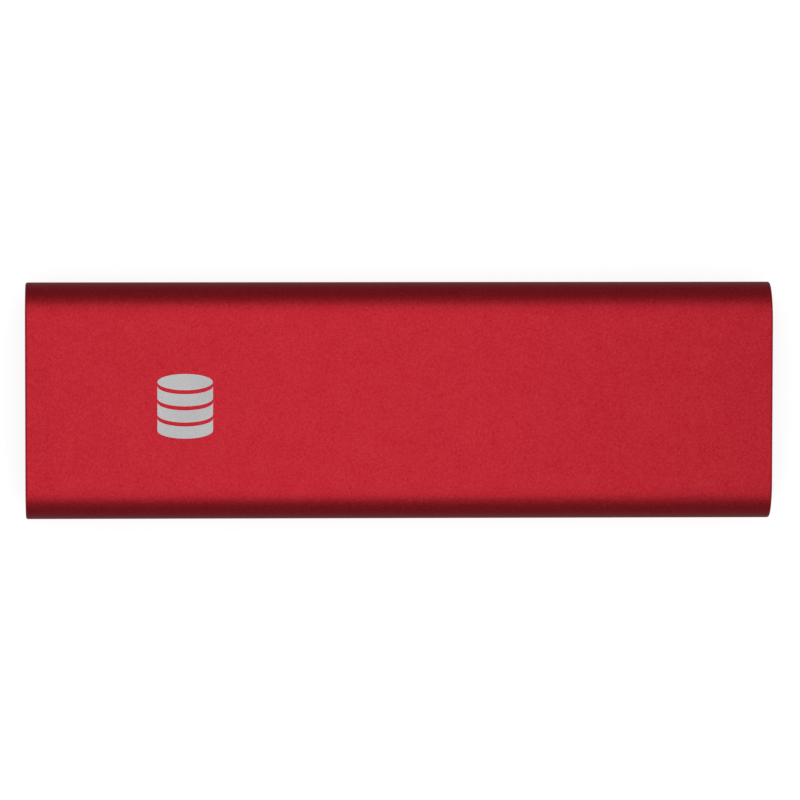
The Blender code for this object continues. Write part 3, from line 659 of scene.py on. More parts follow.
def cavity_side(sign):
    """One side of the cavity, from the ceiling down past the screw boss and the board's ledge."""
    centre = (SIDE_Y, MID_Z)
    boss_angle = math.degrees(math.asin(BOSS_RADIUS / CAVITY_RADIUS))
    ledge_angle = math.degrees(math.asin((MID_Z - LEDGE_TOP_Z) / CAVITY_RADIUS))
    foot_angle = math.degrees(math.acos((LEDGE_Y - SIDE_Y) / CAVITY_RADIUS))
    points = arc(centre, CAVITY_RADIUS, 90, boss_angle, SMALL_STEPS)
    points += arc((BOSS_Y, MID_Z), BOSS_RADIUS, 90, 270, SMALL_STEPS)
    points += arc(centre, CAVITY_RADIUS, -boss_angle, -ledge_angle, CORNER_STEPS)
    points += [(LEDGE_Y, LEDGE_TOP_Z)]
    points += arc(centre, CAVITY_RADIUS, -foot_angle, -90, 4)
    return [(sign * y, z) for y, z in points]


def make_shell():
    """The extruded tube with a pocket for each cap, and the storage sign let into its top."""
    outline = rounding(-SHELL_END, SIDE_RADIUS, SHELL_EDGE, 1)
    outline += rounding(SHELL_END, SIDE_RADIUS, SHELL_EDGE, -1)[::-1]
    past = SHELL_END + PAST
    cutters = [Form().stretch([cavity_side(1) + cavity_side(-1)[::-1]], -past, past, "X")]
    pocket = SIDE_RADIUS - POCKET_RIM
    for end in SIGNS:
        inner_x, end_x = end * (SHELL_END - POCKET_DEPTH), end * SHELL_END
        cutters.append(mouth(inner_x, end_x, pocket, SIDE_Y, POCKET_FLARE, SIDE_STEPS // 2, end))
    for sign in SIGNS:
        hole = circle((sign * BOSS_Y, MID_Z), BOSS_HOLE_RADIUS)
        cutters.append(Form().stretch([hole], -past, past, "X"))
    engraving, fill = Form(), Form()
    for loop in mark_loops():
        engraving.stretch([loop], HEIGHT - MARK_DEPTH, HEIGHT + PAST)
        fill.stretch([loop], HEIGHT - 2 * MARK_DEPTH, HEIGHT - MARK_DEPTH + MARK_FILL)
    cutters.append(engraving)
    outside = Form().bar(outline, SIDE_Y, SIDE_STEPS)
    make_piece("shell_skin", outside, "anodised_red", "outer_shell", cutters, "case")
    make_piece("storage_sign", fill, "mark_silver", body="case")


# ---- Caps ----

PIPE_HOLE = [(0.7, -3.0), (0.7, -0.1), (0.9, 0.1), (0.9, 1.0)]  # (radius, height) from the cap's face


def cap_plate(end):
    plate = rounding(end * CAP_BACK_X, CAP_RADIUS, CAP_EDGE, end)
    plate += rounding(end * CAP_FACE_X, CAP_RADIUS, CAP_EDGE, -end)[::-1]
    return Form().bar(plate, SIDE_Y, SIDE_STEPS // 2)


def cap_screw_holes(end):
    """Countersunk holes."""
    cone = COUNTERSINK_RADIUS - CAP_HOLE_RADIUS
    profile = [
        (CAP_HOLE_RADIUS, -3 * MM), (CAP_HOLE_RADIUS, -cone), (COUNTERSINK_RADIUS, 0.0),
        (COUNTERSINK_RADIUS + PAST, PAST),
    ]
    facing = "+X" if end > 0 else "-X"
    return [Form().turn(profile, stood((end * CAP_FACE_X, sign * BOSS_Y, MID_Z), facing)) for sign in SIGNS]


def make_caps():
    make_piece("rear_cap_plate", cap_plate(-1), "cap_plastic", "rear_cap", cap_screw_holes(-1), "rear_cover")
    front, cutters = cap_plate(1), cap_screw_holes(1)
    xs, zs = (LUG_REAR_X, CAP_BACK_X + LUG_ROOT), (ON_BOARD, LUG_TOP_Z)
    for sign in SIGNS:
        y = sign * LUG_Y
        front.box(xs, about(y, LUG_HALF_WIDTH), zs, LUG_EDGE, 3)
        hole = circle((BOARD_SCREW_X, y), LUG_HOLE_RADIUS)
        cutters.append(Form().stretch([hole], 0, LUG_HOLE_TOP_Z))
    slot = USB_RADIUS + USB_SLOT_CLEARANCE
    cutters.append(mouth(CAP_BACK_X - PAST, CAP_FACE_X, slot, USB_SIDE_Y, SLOT_FLARE, SMALL_STEPS))
    place = stood((CAP_FACE_X, LIGHT_Y, MID_Z), "+X")
    cutters.append(Form().turn(millimetres(PIPE_HOLE), place, SMALL_STEPS))
    make_piece("front_cap_plate", front, "cap_plastic", "front_cap", cutters, merge=True)


# ---- Screws ----

SCREWS = {
    # (radius, height) points in millimetres from the rim down, and the thread's root and crest radii, pitch,
    # top and bottom
    "case": ([
        (1.52, 0.0), (1.58, -0.02), (1.6, -0.07), (0.76, -0.88), (0.7, -1.0), (0.7, -5.7), (0.45, -6.0),
    ], (0.7, 0.83, 0.4, -1.3, -5.6)),
    "board": ([
        (0.95, 0.0), (1.17, -0.05), (1.32, -0.16), (1.4, -0.34), (1.4, -0.74), (1.36, -0.8), (0.52, -0.8),
        (0.5, -1.0), (0.5, -3.6), (0.3, -3.8),
    ], (0.5, 0.63, 0.35, -1.1, -3.5)),
    "module": ([
        (1.9, 0.0), (2.14, -0.04), (2.32, -0.14), (2.4, -0.3), (2.4, -0.64), (2.36, -0.7), (0.72, -0.7),
        (0.7, -0.9), (0.7, -3.0), (0.5, -3.2),
    ], (0.7, 0.83, 0.4, -0.9, -2.9)),
}
CASE_SCREW_SINK = 0.05 * MM
RUBBED_WIDTH = 0.09 * MM
RECESS_DEPTH, RECESS_RADIUS, RECESS_LOBE = 0.42 * MM, 0.62 * MM, 0.13 * MM
RECESS_RINGS = ((-RECESS_DEPTH, 0.9), (-0.07 * MM, 0.98), (0.03 * MM, 1.14), (PAST, 1.14))


def lobed_recess(matrix):
    """A six-lobed driver recess with a lead-in at its mouth."""
    rings = []
    for height, share in RECESS_RINGS:
        ring = []
        for i in range(ROUND_STEPS):
            angle = 2 * math.pi * i / ROUND_STEPS
            reach = (RECESS_RADIUS - RECESS_LOBE * (1 - math.cos(6 * angle)) / 2) * share
            ring.append((reach * math.cos(angle), reach * math.sin(angle), height))
        rings.append(ring)
    return Form().loft(rings, matrix=matrix)


def make_screw(name, kind, location, facing, replaced, body="drawer", paint="steel"):
    """A turned screw, made head up with its top at zero, then stood in its place."""
    profile, thread = SCREWS[kind]
    place = stood(location, facing)
    form = Form().turn(millimetres(profile[::-1]), place)
    form.thread(*(value * MM for value in thread), place)
    form.rub(RUBBED_WIDTH)
    make_piece(name, form, paint, replaced, [lobed_recess(place)], body, merge=True)


def make_screws():
    for end, sign_x, facing in (("front", 1, "+X"), ("rear", -1, "-X")):
        for side, sign in SIDES:
            location = (sign_x * (CAP_FACE_X - CASE_SCREW_SINK), sign * BOSS_Y, MID_Z)
            make_screw(f"{end}_{side}_machine_screw", "case", location, facing, f"{end}_screw_{side}",
                       f"{end}_{side}_screw", "black_steel")
    for side, sign in SIDES:
        name = f"board_screw_{side}"
        location = (BOARD_SCREW_X, sign * LUG_Y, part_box(name)[0].z)
        make_screw(f"board_machine_screw_{side}", "board", location, "-Z", name)
    location = (MODULE_REAR_X, 0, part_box("module_screw")[1].z)
    make_screw("module_machine_screw", "module", location, "+Z", "module_screw")


# ---- USB-C receptacle and status light ----

USB_WALL = 0.3 * MM
USB_LIP = 0.15 * MM
SPRING_XS, SPRING_YS, SPRING_HALF_WIDTH = (46.9 * MM, 49.7 * MM), (-1.9 * MM, 1.9 * MM), 0.5 * MM
SLIT = 0.13 * MM
LEG_XS, LEG_Y = (46.1 * MM, 49.4 * MM), 4.47 * MM
LEG_HALF_WIDTH, LEG_THICKNESS, LEG_REACH = 0.55 * MM, 0.3 * MM, 0.35 * MM
TONGUE_BLOCK_RADIUS = 1.26 * MM
TONGUE_ROOT_X, TONGUE_FRONT_X = USB_REAR_X + 1.5 * MM, 51.4 * MM
TONGUE_HALF_WIDTH, TONGUE_HALF_THICKNESS = 3.325 * MM, 0.35 * MM
TONGUE_EDGE, STAMPED_EDGE = 0.12 * MM, 0.03 * MM
CONTACT_PITCH = 0.5 * MM
CONTACT_PROUD = 0.02 * MM
LONG_CONTACTS, LONG_SETBACK, SETBACK = (0, 3, 8, 11), 0.35 * MM, 0.75 * MM  # of the contacts' tips
LATCH_DEPTH, LATCH_PROUD = 0.25 * MM, 0.05 * MM
# (radius, x) along the light pipe, (radius, x from the cap's face) over its lens, and (radius, height) of
# the lamp's dome
LIGHT_PIPE = [(0.5, 49.3), (0.6, 49.4), (0.6, 50.35), (0.9, 50.35), (0.9, 50.8), (0.6, 50.8)]
LIGHT_LENS = [(0.6, -0.16), (0.552, -0.08), (0.42, -0.02), (0.21, 0.0)]
LAMP_DOME = [(0.55, 0.0), (0.54, 0.1), (0.46, 0.24), (0.3, 0.32), (0.1, 0.35)]


def make_usb_shell():
    """A drawn steel sleeve with a rolled lip, two pressed springs on each face and four legs."""
    lip = arc((USB_FRONT_X - USB_LIP, USB_RADIUS - USB_LIP), USB_LIP, 90, -90, CORNER_STEPS)
    profile = [(USB_REAR_X, USB_RADIUS - USB_WALL), (USB_REAR_X, USB_RADIUS)] + lip
    springs = Form()
    root_x, tip_x = SPRING_XS
    for y in SPRING_YS:
        for sign in SIGNS:
            zs = (MID_Z + sign * MM, MID_Z + sign * 2 * MM)
            for slit_y in about(y, SPRING_HALF_WIDTH):
                springs.box((root_x, tip_x), about(slit_y, SLIT / 2), zs)
            springs.box((tip_x - SLIT, tip_x), about(y, 0.4 * MM), zs)
    sleeve = Form().bar(profile, USB_SIDE_Y, SMALL_STEPS, True)
    make_piece("usb_sleeve", sleeve, "steel", "usb_shell", [springs])
    legs = Form()
    for sign in SIGNS:
        for x in LEG_XS:
            legs.box(about(x, LEG_HALF_WIDTH), (sign * (LEG_Y - LEG_THICKNESS), sign * LEG_Y),
                     (BOARD_Z - LEG_REACH, MID_Z), 0.06 * MM)
    make_piece("usb_legs", legs, "steel")


def make_usb_tongue():
    """The contact blade on its block, with its contacts, its latch plate and its solder tails."""
    root_x, front_x, half, thick = TONGUE_ROOT_X, TONGUE_FRONT_X, TONGUE_HALF_WIDTH, TONGUE_HALF_THICKNESS
    block = [(USB_REAR_X + x * MM, TONGUE_BLOCK_RADIUS) for x in (0.03, 1.65)]
    body = Form().bar(block, USB_SIDE_Y, SMALL_STEPS)
    body.box((root_x, front_x), about(0, half), about(MID_Z, thick), TONGUE_EDGE, 3)
    make_piece("usb_blade", body, "socket_plastic", "usb_tongue")
    contacts = Form()
    for i, y in enumerate(row(12, CONTACT_PITCH)):
        xs = (root_x + 0.2 * MM, front_x - (LONG_SETBACK if i in LONG_CONTACTS else SETBACK))
        for z in about(MID_Z, thick):
            contacts.box(xs, about(y, 0.125 * MM), about(z, CONTACT_PROUD), 0.015 * MM, 1)
        contacts.box((USB_REAR_X - 0.75 * MM, USB_REAR_X + 0.3 * MM), about(y, 0.11 * MM),
                     (ON_BOARD - SOLDER_GAP, ON_BOARD + 0.1 * MM), STAMPED_EDGE, 1)
    make_piece("usb_contacts", contacts, "gold")
    plate = Form()
    inner, outer = half - LATCH_DEPTH, half + LATCH_PROUD
    xs, zs = (root_x, front_x - 0.3 * MM), about(MID_Z, 0.08 * MM)
    for sign in SIGNS:
        plate.box(xs, (sign * inner, sign * outer), zs, STAMPED_EDGE, 1)
        plate.box((root_x, root_x + 0.9 * MM), about(0, inner),
                  (MID_Z + sign * thick, MID_Z + sign * (thick + 0.06 * MM)), 0.02 * MM, 1)
    make_piece("usb_latch_plate", plate, "steel")


def make_status_light():
    """A frosted pipe from the cap's face back to the lamp on the board."""
    profile = [(radius * MM, x * MM - CAP_FACE_X) for radius, x in LIGHT_PIPE] + millimetres(LIGHT_LENS)
    pipe = Form().turn(profile, stood((CAP_FACE_X, LIGHT_Y, MID_Z), "+X"), SMALL_STEPS)
    make_piece("frosted_light_pipe", pipe, "lens", "light_pipe")
    low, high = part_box("status_led")
    front_x = high.x - LAMP_DOME[-1][1] * MM
    housing = Form().block(low, (front_x, high.y, high.z), 0.08 * MM)
    make_piece("status_lamp_housing", housing, "lamp_white", "status_led")
    lamp = Form().turn(millimetres(LAMP_DOME), stood((front_x, LIGHT_Y, MID_Z), "+X"), SMALL_STEPS)
    make_piece("status_lamp_dome", lamp, "lamp_yellow")


# ---- Printed boards. Places and widths on them are in millimetres ----

COPPER_HIGH, INK_HIGH = 0.02 * MM, 0.03 * MM
PLATING_LIFT = COPPER_HIGH / 2  # how far plated holes stand above the tracks that they sit on
LEAST_SLANT = 0.02

# Fans of tracks: how many, then x and pitch at each end, then width. Tracks: width, then points.
BRIDGE_TOP_FANS = [(12, 44.0, 0.5, 43.15, 0.4, 0.16), (12, 36.85, 0.4, 36.2, 0.5, 0.16)]
BRIDGE_TOP_PAIRS = [(1.7, [(-49.2, 13.1), (41.0, 13.1)]), (0.3, [(-48.0, 11.75), (36.6, 11.75)])]
BRIDGE_TOP_PAIRS += [
    (0.18, [(37.0 + x, 11.2 - 0.4 * i), (28.0, 11.2 - 0.4 * i)]) for i, x in enumerate(row(4, 0.45))
]
BRIDGE_TOP_TRACKS = [
    (0.4, [(42.9, 7.6), (44.3, 6.2), (47.2, 6.2)]),
    (0.5, [(37.6, -10.2), (36.9, -10.9), (36.9, -12.0)]),
    (0.5, [(41.4, -10.2), (43.2, -10.2), (43.9, -10.9), (43.9, -12.4), (46.5, -12.4)]),
    (0.16, [(42.2, -6.0), (43.2, -5.0), (43.2, -3.4)]),
    (0.16, [(40.5, -5.1), (40.5, -4.5)]),
]
CHIP_EXITS = [(38.2 + 0.5 * i, 3.7 + 0.05 * i) for i in range(6)]  # where the bridge chip's end tracks turn
BRIDGE_TOP_TRACKS += [(0.14, [(x, 3.15), (x, y), (x + 0.4, 4.1)]) for x, y in CHIP_EXITS]
BRIDGE_TOP_TRACKS += [(0.14, [(x, -3.15), (x, -3.6), (x + 0.4, -3.95)]) for x, _ in CHIP_EXITS]
BRIDGE_UNDER_FANS = [(10, 43.0, 0.9, 33.5, 0.45, 0.18), (10, 33.5, 0.45, 18.0, 0.7, 0.18)]
BRIDGE_UNDER_PAIRS = [
    (1.7, [(-49.2, 13.1), (48.5, 13.1)]),
    (0.8, [(43.4, 9.4), (38.0, 9.4), (36.0, 11.4), (29.0, 11.4)]),
]
BRIDGE_UNDER_TRACKS = [(0.4, [(-44.0, -8.5), (-26.0, -8.5), (-22.0, -4.5), (14.0, -4.5)])]
BRIDGE_UNDER_TRACKS += [
    (0.25, [(18.0 - i, 6.6 + y), (-41.0, 6.6 + y), (-43.0, 4.6 + y)]) for i, y in enumerate(row(4, 1.0))
]
BRIDGE_VIAS = [(-47.5 + 3.0 * i, 13.1) for i in range(30)] + [(29.0 + 3.0 * i, 12.5) for i in range(3)]
BRIDGE_FRAMES = [
    # lowest x and y, highest x and y, and width of the printed frame round each part
    (36.6, -3.4, 43.4, 3.4, 0.14), (37.8, 5.2, 42.6, 10.0, 0.14), (38.5, -8.1, 42.5, -4.9, 0.14),
    (37.7, -11.9, 41.6, -8.6, 0.14), (27.6, -11.7, 36.9, 11.7, 0.16), (44.2, -5.0, 50.0, 5.0, 0.14),
]
BRIDGE_DOTS = [(37.0, 3.9), (38.0, -4.5)]

EDGE_HALF_WIDTH, EDGE_SHOULDER_X, EDGE_CHAMFER = 9.9 * MM, 28.3 * MM, 0.3 * MM
KEY_X, KEY_LOW, KEY_HIGH = 29.0 * MM, -6.7 * MM, -5.5 * MM
MODULE_FANS = [
    (34, -19.3, 0.48, -16.7, 0.4464, 0.15), (30, -2.3, 0.4, 0.3, 0.372, 0.15),
    (26, 8.7, 0.42, 11.3, 0.3906, 0.15), (20, 23.7, 0.5, 28.9, 0.56, 0.17),
]
MODULE_PAIRS = [(0.17, [(-33.0 + i, 10.7 - 0.35 * i), (12.0 - i, 10.7 - 0.35 * i)]) for i in range(3)]
MODULE_PAIRS += [
    (0.6, [(-34.0, 7.0), (-36.0, 7.0), (-37.0, 8.0), (-44.5, 8.0)]),
    (0.35, [(-34.0, 4.0), (-40.0, 4.0), (-42.2, 2.5)]),
]
MODULE_TRACKS = [
    (0.16, [(-34.0, y), (-35.5 - 0.3 * i, y), (-36.5 - 0.3 * i, y * 0.8)]) for i, y in enumerate(row(7, 0.9))
]
MODULE_VIAS = [(-36.0 - 1.1 * i, 2.9) for i in range(5)] + [(-32 + 5.0 * i, 10.45) for i in range(12)]
MARK_OUT, MARK_LENGTH, MARK_WIDTH = 0.35, 1.4, 0.14  # the printed corners round each chip of the module


def route(form, points, width, base, high=COPPER_HIGH):
    """A track of copper, or a line of ink, on a board's face."""
    form.strip(millimetres(points), width * MM, base, base + high)


def copper(form, base, fans, pairs, tracks):
    """All the tracks on one face. Those of a fan run straight, slant across, and run straight again."""
    for count, x0, pitch0, x1, pitch1, width in fans:
        middle, way = (x0 + x1) / 2, math.copysign(1, x1 - x0)
        for y0, y1 in zip(row(count, pitch0), row(count, pitch1)):
            reach = way * abs(y1 - y0) / 2
            knees = [(middle - reach, y0), (middle + reach, y1)] if abs(y1 - y0) > LEAST_SLANT else []
            route(form, [(x0, y0)] + knees + [(x1, y1)], width, base)
    for sign in SIGNS:
        for width, points in pairs:
            route(form, [(x, sign * y) for x, y in points], width, base)
    for width, points in tracks:
        route(form, points, width, base)


def ink_dot(form, x, y, radius, base):
    form.stretch([circle((x * MM, y * MM), radius * MM, TINY_STEPS)], base, base + INK_HIGH)


def make_bridge_board():
    loops = [rounded_rectangle(BOARD_LOW, BOARD_HIGH, 0.6 * MM, 6)]
    loops += [circle((BOARD_SCREW_X, sign * LUG_Y), 0.85 * MM) for sign in SIGNS]
    for sign in SIGNS:
        for x in LEG_XS:
            y = sign * (LEG_Y - LEG_THICKNESS / 2)
            low, high = (x - 0.75 * MM, y - 0.35 * MM), (x + 0.75 * MM, y + 0.35 * MM)
            loops.append(rounded_rectangle(low, high, 0.34 * MM, 4))
    make_piece("bridge_laminate", Form().stretch(loops, BOARD_Z, BOARD_TOP), "solder_mask", "bridge_board")

    under = BOARD_Z - COPPER_HIGH
    tracks = Form()
    copper(tracks, BOARD_TOP, BRIDGE_TOP_FANS, BRIDGE_TOP_PAIRS, BRIDGE_TOP_TRACKS)
    copper(tracks, under, BRIDGE_UNDER_FANS, BRIDGE_UNDER_PAIRS, BRIDGE_UNDER_TRACKS)
    make_piece("bridge_tracks", tracks, "masked_copper")

    plating = Form()
    for base, lift in ((BOARD_TOP, PLATING_LIFT), (under, -PLATING_LIFT)):
        for sign in SIGNS:
            plating.ring(BOARD_SCREW_X / MM, sign * LUG_Y / MM, 1.75, 0.85, base, SMALL_STEPS)
            for x, y in BRIDGE_VIAS:
                plating.ring(x, sign * y, 0.3, 0.15, base + lift)
    for i in range(6):
        pad = circle(((-44 + 3.2 * i) * MM, -8.5 * MM), 0.6 * MM)
        plating.stretch([pad], under - PLATING_LIFT, BOARD_Z - PLATING_LIFT)
    plating.ring(MODULE_REAR_X / MM, 0, 2.7, 1.3, under, SMALL_STEPS)
    plating.ring(MODULE_REAR_X / MM, 0, 2.7, 2.3, BOARD_TOP, SMALL_STEPS)
    make_piece("bridge_plating", plating, "gold")

    ink = Form()
    for x0, y0, x1, y1, width in BRIDGE_FRAMES:
        corners = [(x0, y0), (x1, y0), (x1, y1), (x0, y1)]
        for here, there in zip(corners, corners[1:] + corners[:1]):
            route(ink, [here, there], width, BOARD_TOP, INK_HIGH)
    for x, y in BRIDGE_DOTS:
        ink_dot(ink, x, y, 0.16, BOARD_TOP)
    make_piece("bridge_ink", ink, "ink")


def make_module_board():
    """The flash module's board, with its keyed edge connector and the half-round notch of its screw."""
    front, rear, side, edge = MODULE_FRONT_X, MODULE_REAR_X, MODULE_HIGH.y, EDGE_HALF_WIDTH
    shoulder, chamfer = EDGE_SHOULDER_X, EDGE_CHAMFER
    loop = [
        (rear, -side), (shoulder, -side), (shoulder, -edge), (front - chamfer, -edge),
        (front, chamfer - edge), (front, KEY_LOW - chamfer), (front - chamfer, KEY_LOW), (KEY_X, KEY_LOW),
        (KEY_X, KEY_HIGH), (front - chamfer, KEY_HIGH), (front, KEY_HIGH + chamfer), (front, edge - chamfer),
        (front - chamfer, edge), (shoulder, edge), (shoulder, side), (rear, side),
    ]
    loop += arc((rear, 0), 1.75 * MM, 90, -90, SMALL_STEPS)
    laminate = Form().stretch([loop], MODULE_Z, MODULE_TOP)
    make_piece("module_laminate", laminate, "solder_mask", "module_board")

    tracks = Form()
    copper(tracks, MODULE_TOP, MODULE_FANS, MODULE_PAIRS, MODULE_TRACKS)
    make_piece("module_tracks", tracks, "masked_copper")

    plating = Form()
    notch = arc((rear, 0), 2.9 * MM, 90, -90, SMALL_STEPS) + arc((rear, 0), 1.76 * MM, -90, 90, SMALL_STEPS)
    fingers = [y + CONTACT_PITCH / 2 for y in row(36, CONTACT_PITCH)]
    for base, lift in ((MODULE_TOP, PLATING_LIFT), (MODULE_Z - COPPER_HIGH, -PLATING_LIFT)):
        zs = (base, base + COPPER_HIGH)
        plating.stretch([notch], *zs)
        for y in fingers:
            if not KEY_LOW - 0.2 * MM < y < KEY_HIGH + 0.2 * MM:
                plating.box((front - 2.6 * MM, front - 0.35 * MM), about(y, 0.175 * MM), zs)
        for x, y in MODULE_VIAS:
            for sign in SIGNS:
                plating.ring(x, sign * y, 0.24, 0.11, base + lift)
    make_piece("module_plating", plating, "gold")

    ink = Form()
    for name in ("nand_chip_1", "nand_chip_2", "dram_chip", "flash_controller"):
        low, high = (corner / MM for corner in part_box(name))
        for x, along_x in ((low.x - MARK_OUT, MARK_LENGTH), (high.x + MARK_OUT, -MARK_LENGTH)):
            for y, along_y in ((low.y - MARK_OUT, MARK_LENGTH), (high.y + MARK_OUT, -MARK_LENGTH)):
                route(ink, [(x + along_x, y), (x, y), (x, y + along_y)], MARK_WIDTH, MODULE_TOP, INK_HIGH)
        ink_dot(ink, low.x - MARK_OUT, high.y + 2 * MARK_OUT, 0.2, MODULE_TOP)
    make_piece("module_ink", ink, "ink")


# ---- Chips and other parts on the boards ----

DIMPLE_DEPTH = 0.05 * MM
LARGE_PACKAGE = 7.0 * MM  # a longer package has a second mark, from its ejector pin
MOULD_EDGE, MOULD_CORNER = 0.05 * MM, 0.12 * MM
PAD_OUT, PAD_DEPTH, PAD_HEIGHT, PAD_SHARE = 0.03 * MM, 0.35 * MM, 0.2 * MM, 0.26
LEAD_THICKNESS = 0.12 * MM
LEAD_REACH = (0.0, 0.22 * MM, 0.42 * MM, 0.85 * MM)
LEAD_LAP = 0.08 * MM
END_SHARE = 0.26  # of a small part's length, on each end
CRYSTAL_LID = ((0.12, 0.0), (0.12, 0.08), (0.3, 0.1))  # (inset, height) from the base up
CRYSTAL_LID_TOP = ((0.32, -0.04), (0.38, 0.0))  # and then from the top down
CRYSTAL_BASE_HIGH, SUBSTRATE_HIGH = 0.32 * MM, 0.26 * MM
MOULD_INSET, MOULD_TAPER, MOULD_MARK = Vector((0.03, 0.03, 0)) * MM, 0.05 * MM, 0.5 * MM
FERRITE_EDGE = 0.18 * MM
TERMINAL_PROUD, TERMINAL_SHARE, TERMINAL_HIGH_SHARE = 0.04 * MM, 0.34, 0.45  # of the block's width and height
RESISTORS = [("bridge", 43.6, y) for y in (-8.6, -7.4, 8.4, 9.6)]
RESISTORS += [("bridge", 37.0, y) for y in (-5.6, -6.8)]
RESISTORS += [("module", x, y) for x in (-18.0, -1.0) for y in (-9.6, 9.6)]
RESISTORS += [("module", 25.6 + 0.9 * i, y) for i in range(3) for y in (-9.4, 9.4)]
RESISTORS += [("module", -36.0 - 1.2 * i, y) for i in range(4) for y in (-9.3, 9.3)]


def foot_z(low):
    """The board's face, under the solder gap that the CAD leaves below a part."""
    return low.z - SOLDER_GAP


def dimple(form, x, y, z, radius):
    """A shallow round mark, with sloping sides, in a moulded top."""
    profile = [(radius * 0.8, -DIMPLE_DEPTH), (radius, 0.01 * MM), (radius, PAST)]
    form.turn(profile, stood((x, y, z)), SMALL_STEPS)


def moulded(name, low, high, taper, mark):
    """A moulded body whose sides draw in towards the top, with a mark by its first pin."""
    layers = (
        (MOULD_EDGE, low.z), (0.0, low.z + MOULD_EDGE), (taper, high.z - MOULD_EDGE),
        (taper + MOULD_EDGE, high.z),
    )
    marks = Form()
    dimple(marks, low.x + 2.2 * mark, high.y - 2.2 * mark, high.z, mark)
    if high.x - low.x > LARGE_PACKAGE:
        dimple(marks, high.x - 3 * mark, low.y + 3 * mark, high.z, 1.6 * mark)
    make_piece(f"{name}_mould", Form().stack(layers, low, high, MOULD_CORNER), "epoxy", name, [marks])


def make_array_package(name):
    """A memory or controller package: a moulded cap on a thin laminate."""
    low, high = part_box(name)
    split = low.z + SUBSTRATE_HIGH
    foot = Vector((low.x, low.y, split))
    moulded(name, foot + MOULD_INSET, high - MOULD_INSET, MOULD_TAPER, MOULD_MARK)
    base = Form().block(low, (high.x, high.y, split), 0.02 * MM, 1)
    make_piece(f"{name}_substrate", base, "solder_mask")


def make_flat_package(name, pitch, count, mark):
    """A leadless package: tinned pads show along the foot of each side."""
    low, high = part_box(name)
    moulded(name, low, high, 0.0, mark)
    centre, half = (low + high) / 2, (high - low) / 2
    zs = (foot_z(low), low.z + PAD_HEIGHT)
    pads = Form()
    for along in row(count, pitch):
        for sign in SIGNS:
            xs, ys = ([middle + sign * (reach + PAD_OUT), middle + sign * (reach - PAD_DEPTH)]
                      for middle, reach in ((centre.x, half.x), (centre.y, half.y)))
            pads.box(xs, about(centre.y + along, pitch * PAD_SHARE), zs)
            pads.box(about(centre.x + along, pitch * PAD_SHARE), ys, zs)
    make_piece(f"{name}_pads", pads, "tin")


def gull_wing(form, edge, along, out, way, foot, knee, width):
    """A bent lead from a package's side down to the board. way is "X" or "Y", and out is +1 or -1."""
    start, bend, heel, toe = LEAD_REACH
    thick = LEAD_THICKNESS
    section = [
        (start, knee), (bend, knee), (heel, foot + thick), (toe, foot + thick), (toe, foot),
        (heel - LEAD_LAP, foot), (bend - LEAD_LAP, knee - thick), (start, knee - thick),
    ]
    verts = [(edge + out * distance, side, z) for side in about(along, width / 2) for distance, z in section]
    if way == "Y":
        verts = [(side, ahead, z) for ahead, side, z in verts]
    count = len(section)
    faces = [tuple(range(count)), tuple(range(count, 2 * count))]
    faces += [(i, (i + 1) % count, (i + 1) % count + count, i + count) for i in range(count)]
    form.add(verts, faces)


def make_leaded_package(name, rows, width):
    """A package with bent leads along two sides. rows gives each side's lead positions in millimetres."""
    low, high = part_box(name)
    moulded(name, Vector((low.x, low.y, low.z + 0.08 * MM)), high, 0.08 * MM, 0.2 * MM)
    leads = Form()
    centre = (low + high) / 2
    foot, knee = foot_z(low), low.z + (high.z - low.z) * 0.5
    for out, edge, offsets in zip(SIGNS, (high.y, low.y), rows):
        for offset in offsets:
            gull_wing(leads, edge - out * 0.1 * MM, centre.x + offset * MM, out, "Y", foot, knee, width)
    make_piece(f"{name}_leads", leads, "tin")


def make_two_ended(prefix, low, high, paint, replaced=None, along=0):
    """A small ceramic body with a tinned cap on each end. along is 0 for X and 1 for Y."""
    inset = Vector((1, 1, 0)) * 0.015 * MM
    top = (high.x - inset.x, high.y - inset.y, high.z - 0.015 * MM)
    make_piece(f"{prefix}_body", Form().block(low + inset, top, 0.06 * MM), paint, replaced)
    cap = END_SHARE * (high[along] - low[along])
    ends = Form()
    for span in ((low[along], low[along] + cap), (high[along] - cap, high[along])):
        spans = [(low.x, high.x), (low.y, high.y), (foot_z(low), high.z)]
        spans[along] = span
        ends.box(*spans, 0.05 * MM)
    make_piece(f"{prefix}_ends", ends, "tin")


def make_inductor(name, terminal):
    """A pressed ferrite block with a tinned terminal folded under each end."""
    low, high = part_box(name)
    make_piece(f"{name}_core", Form().block(low, high, FERRITE_EDGE, 3), "ferrite", name)
    ends = Form()
    ys = about((low.y + high.y) / 2, (high.y - low.y) * TERMINAL_SHARE)
    zs = (foot_z(low), low.z + (high.z - low.z) * TERMINAL_HIGH_SHARE)
    for edge, sign in ((low.x, -1), (high.x, 1)):
        ends.box((edge + sign * TERMINAL_PROUD, edge - sign * terminal), ys, zs, STAMPED_EDGE)
    make_piece(f"{name}_terminals", ends, "tin")


def make_crystal():
    """A seam-sealed metal can on a ceramic base."""
    low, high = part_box("crystal")
    split = low.z + CRYSTAL_BASE_HIGH
    base = Form().block((low.x, low.y, foot_z(low)), (high.x, high.y, split), 0.04 * MM)
    make_piece("crystal_base", base, "ceramic")
    layers = [(inset * MM, split + z * MM) for inset, z in CRYSTAL_LID]
    layers += [(inset * MM, high.z + z * MM) for inset, z in CRYSTAL_LID_TOP]
    make_piece("crystal_lid", Form().stack(layers, low, high, 0.35 * MM, 5), "steel", "crystal")


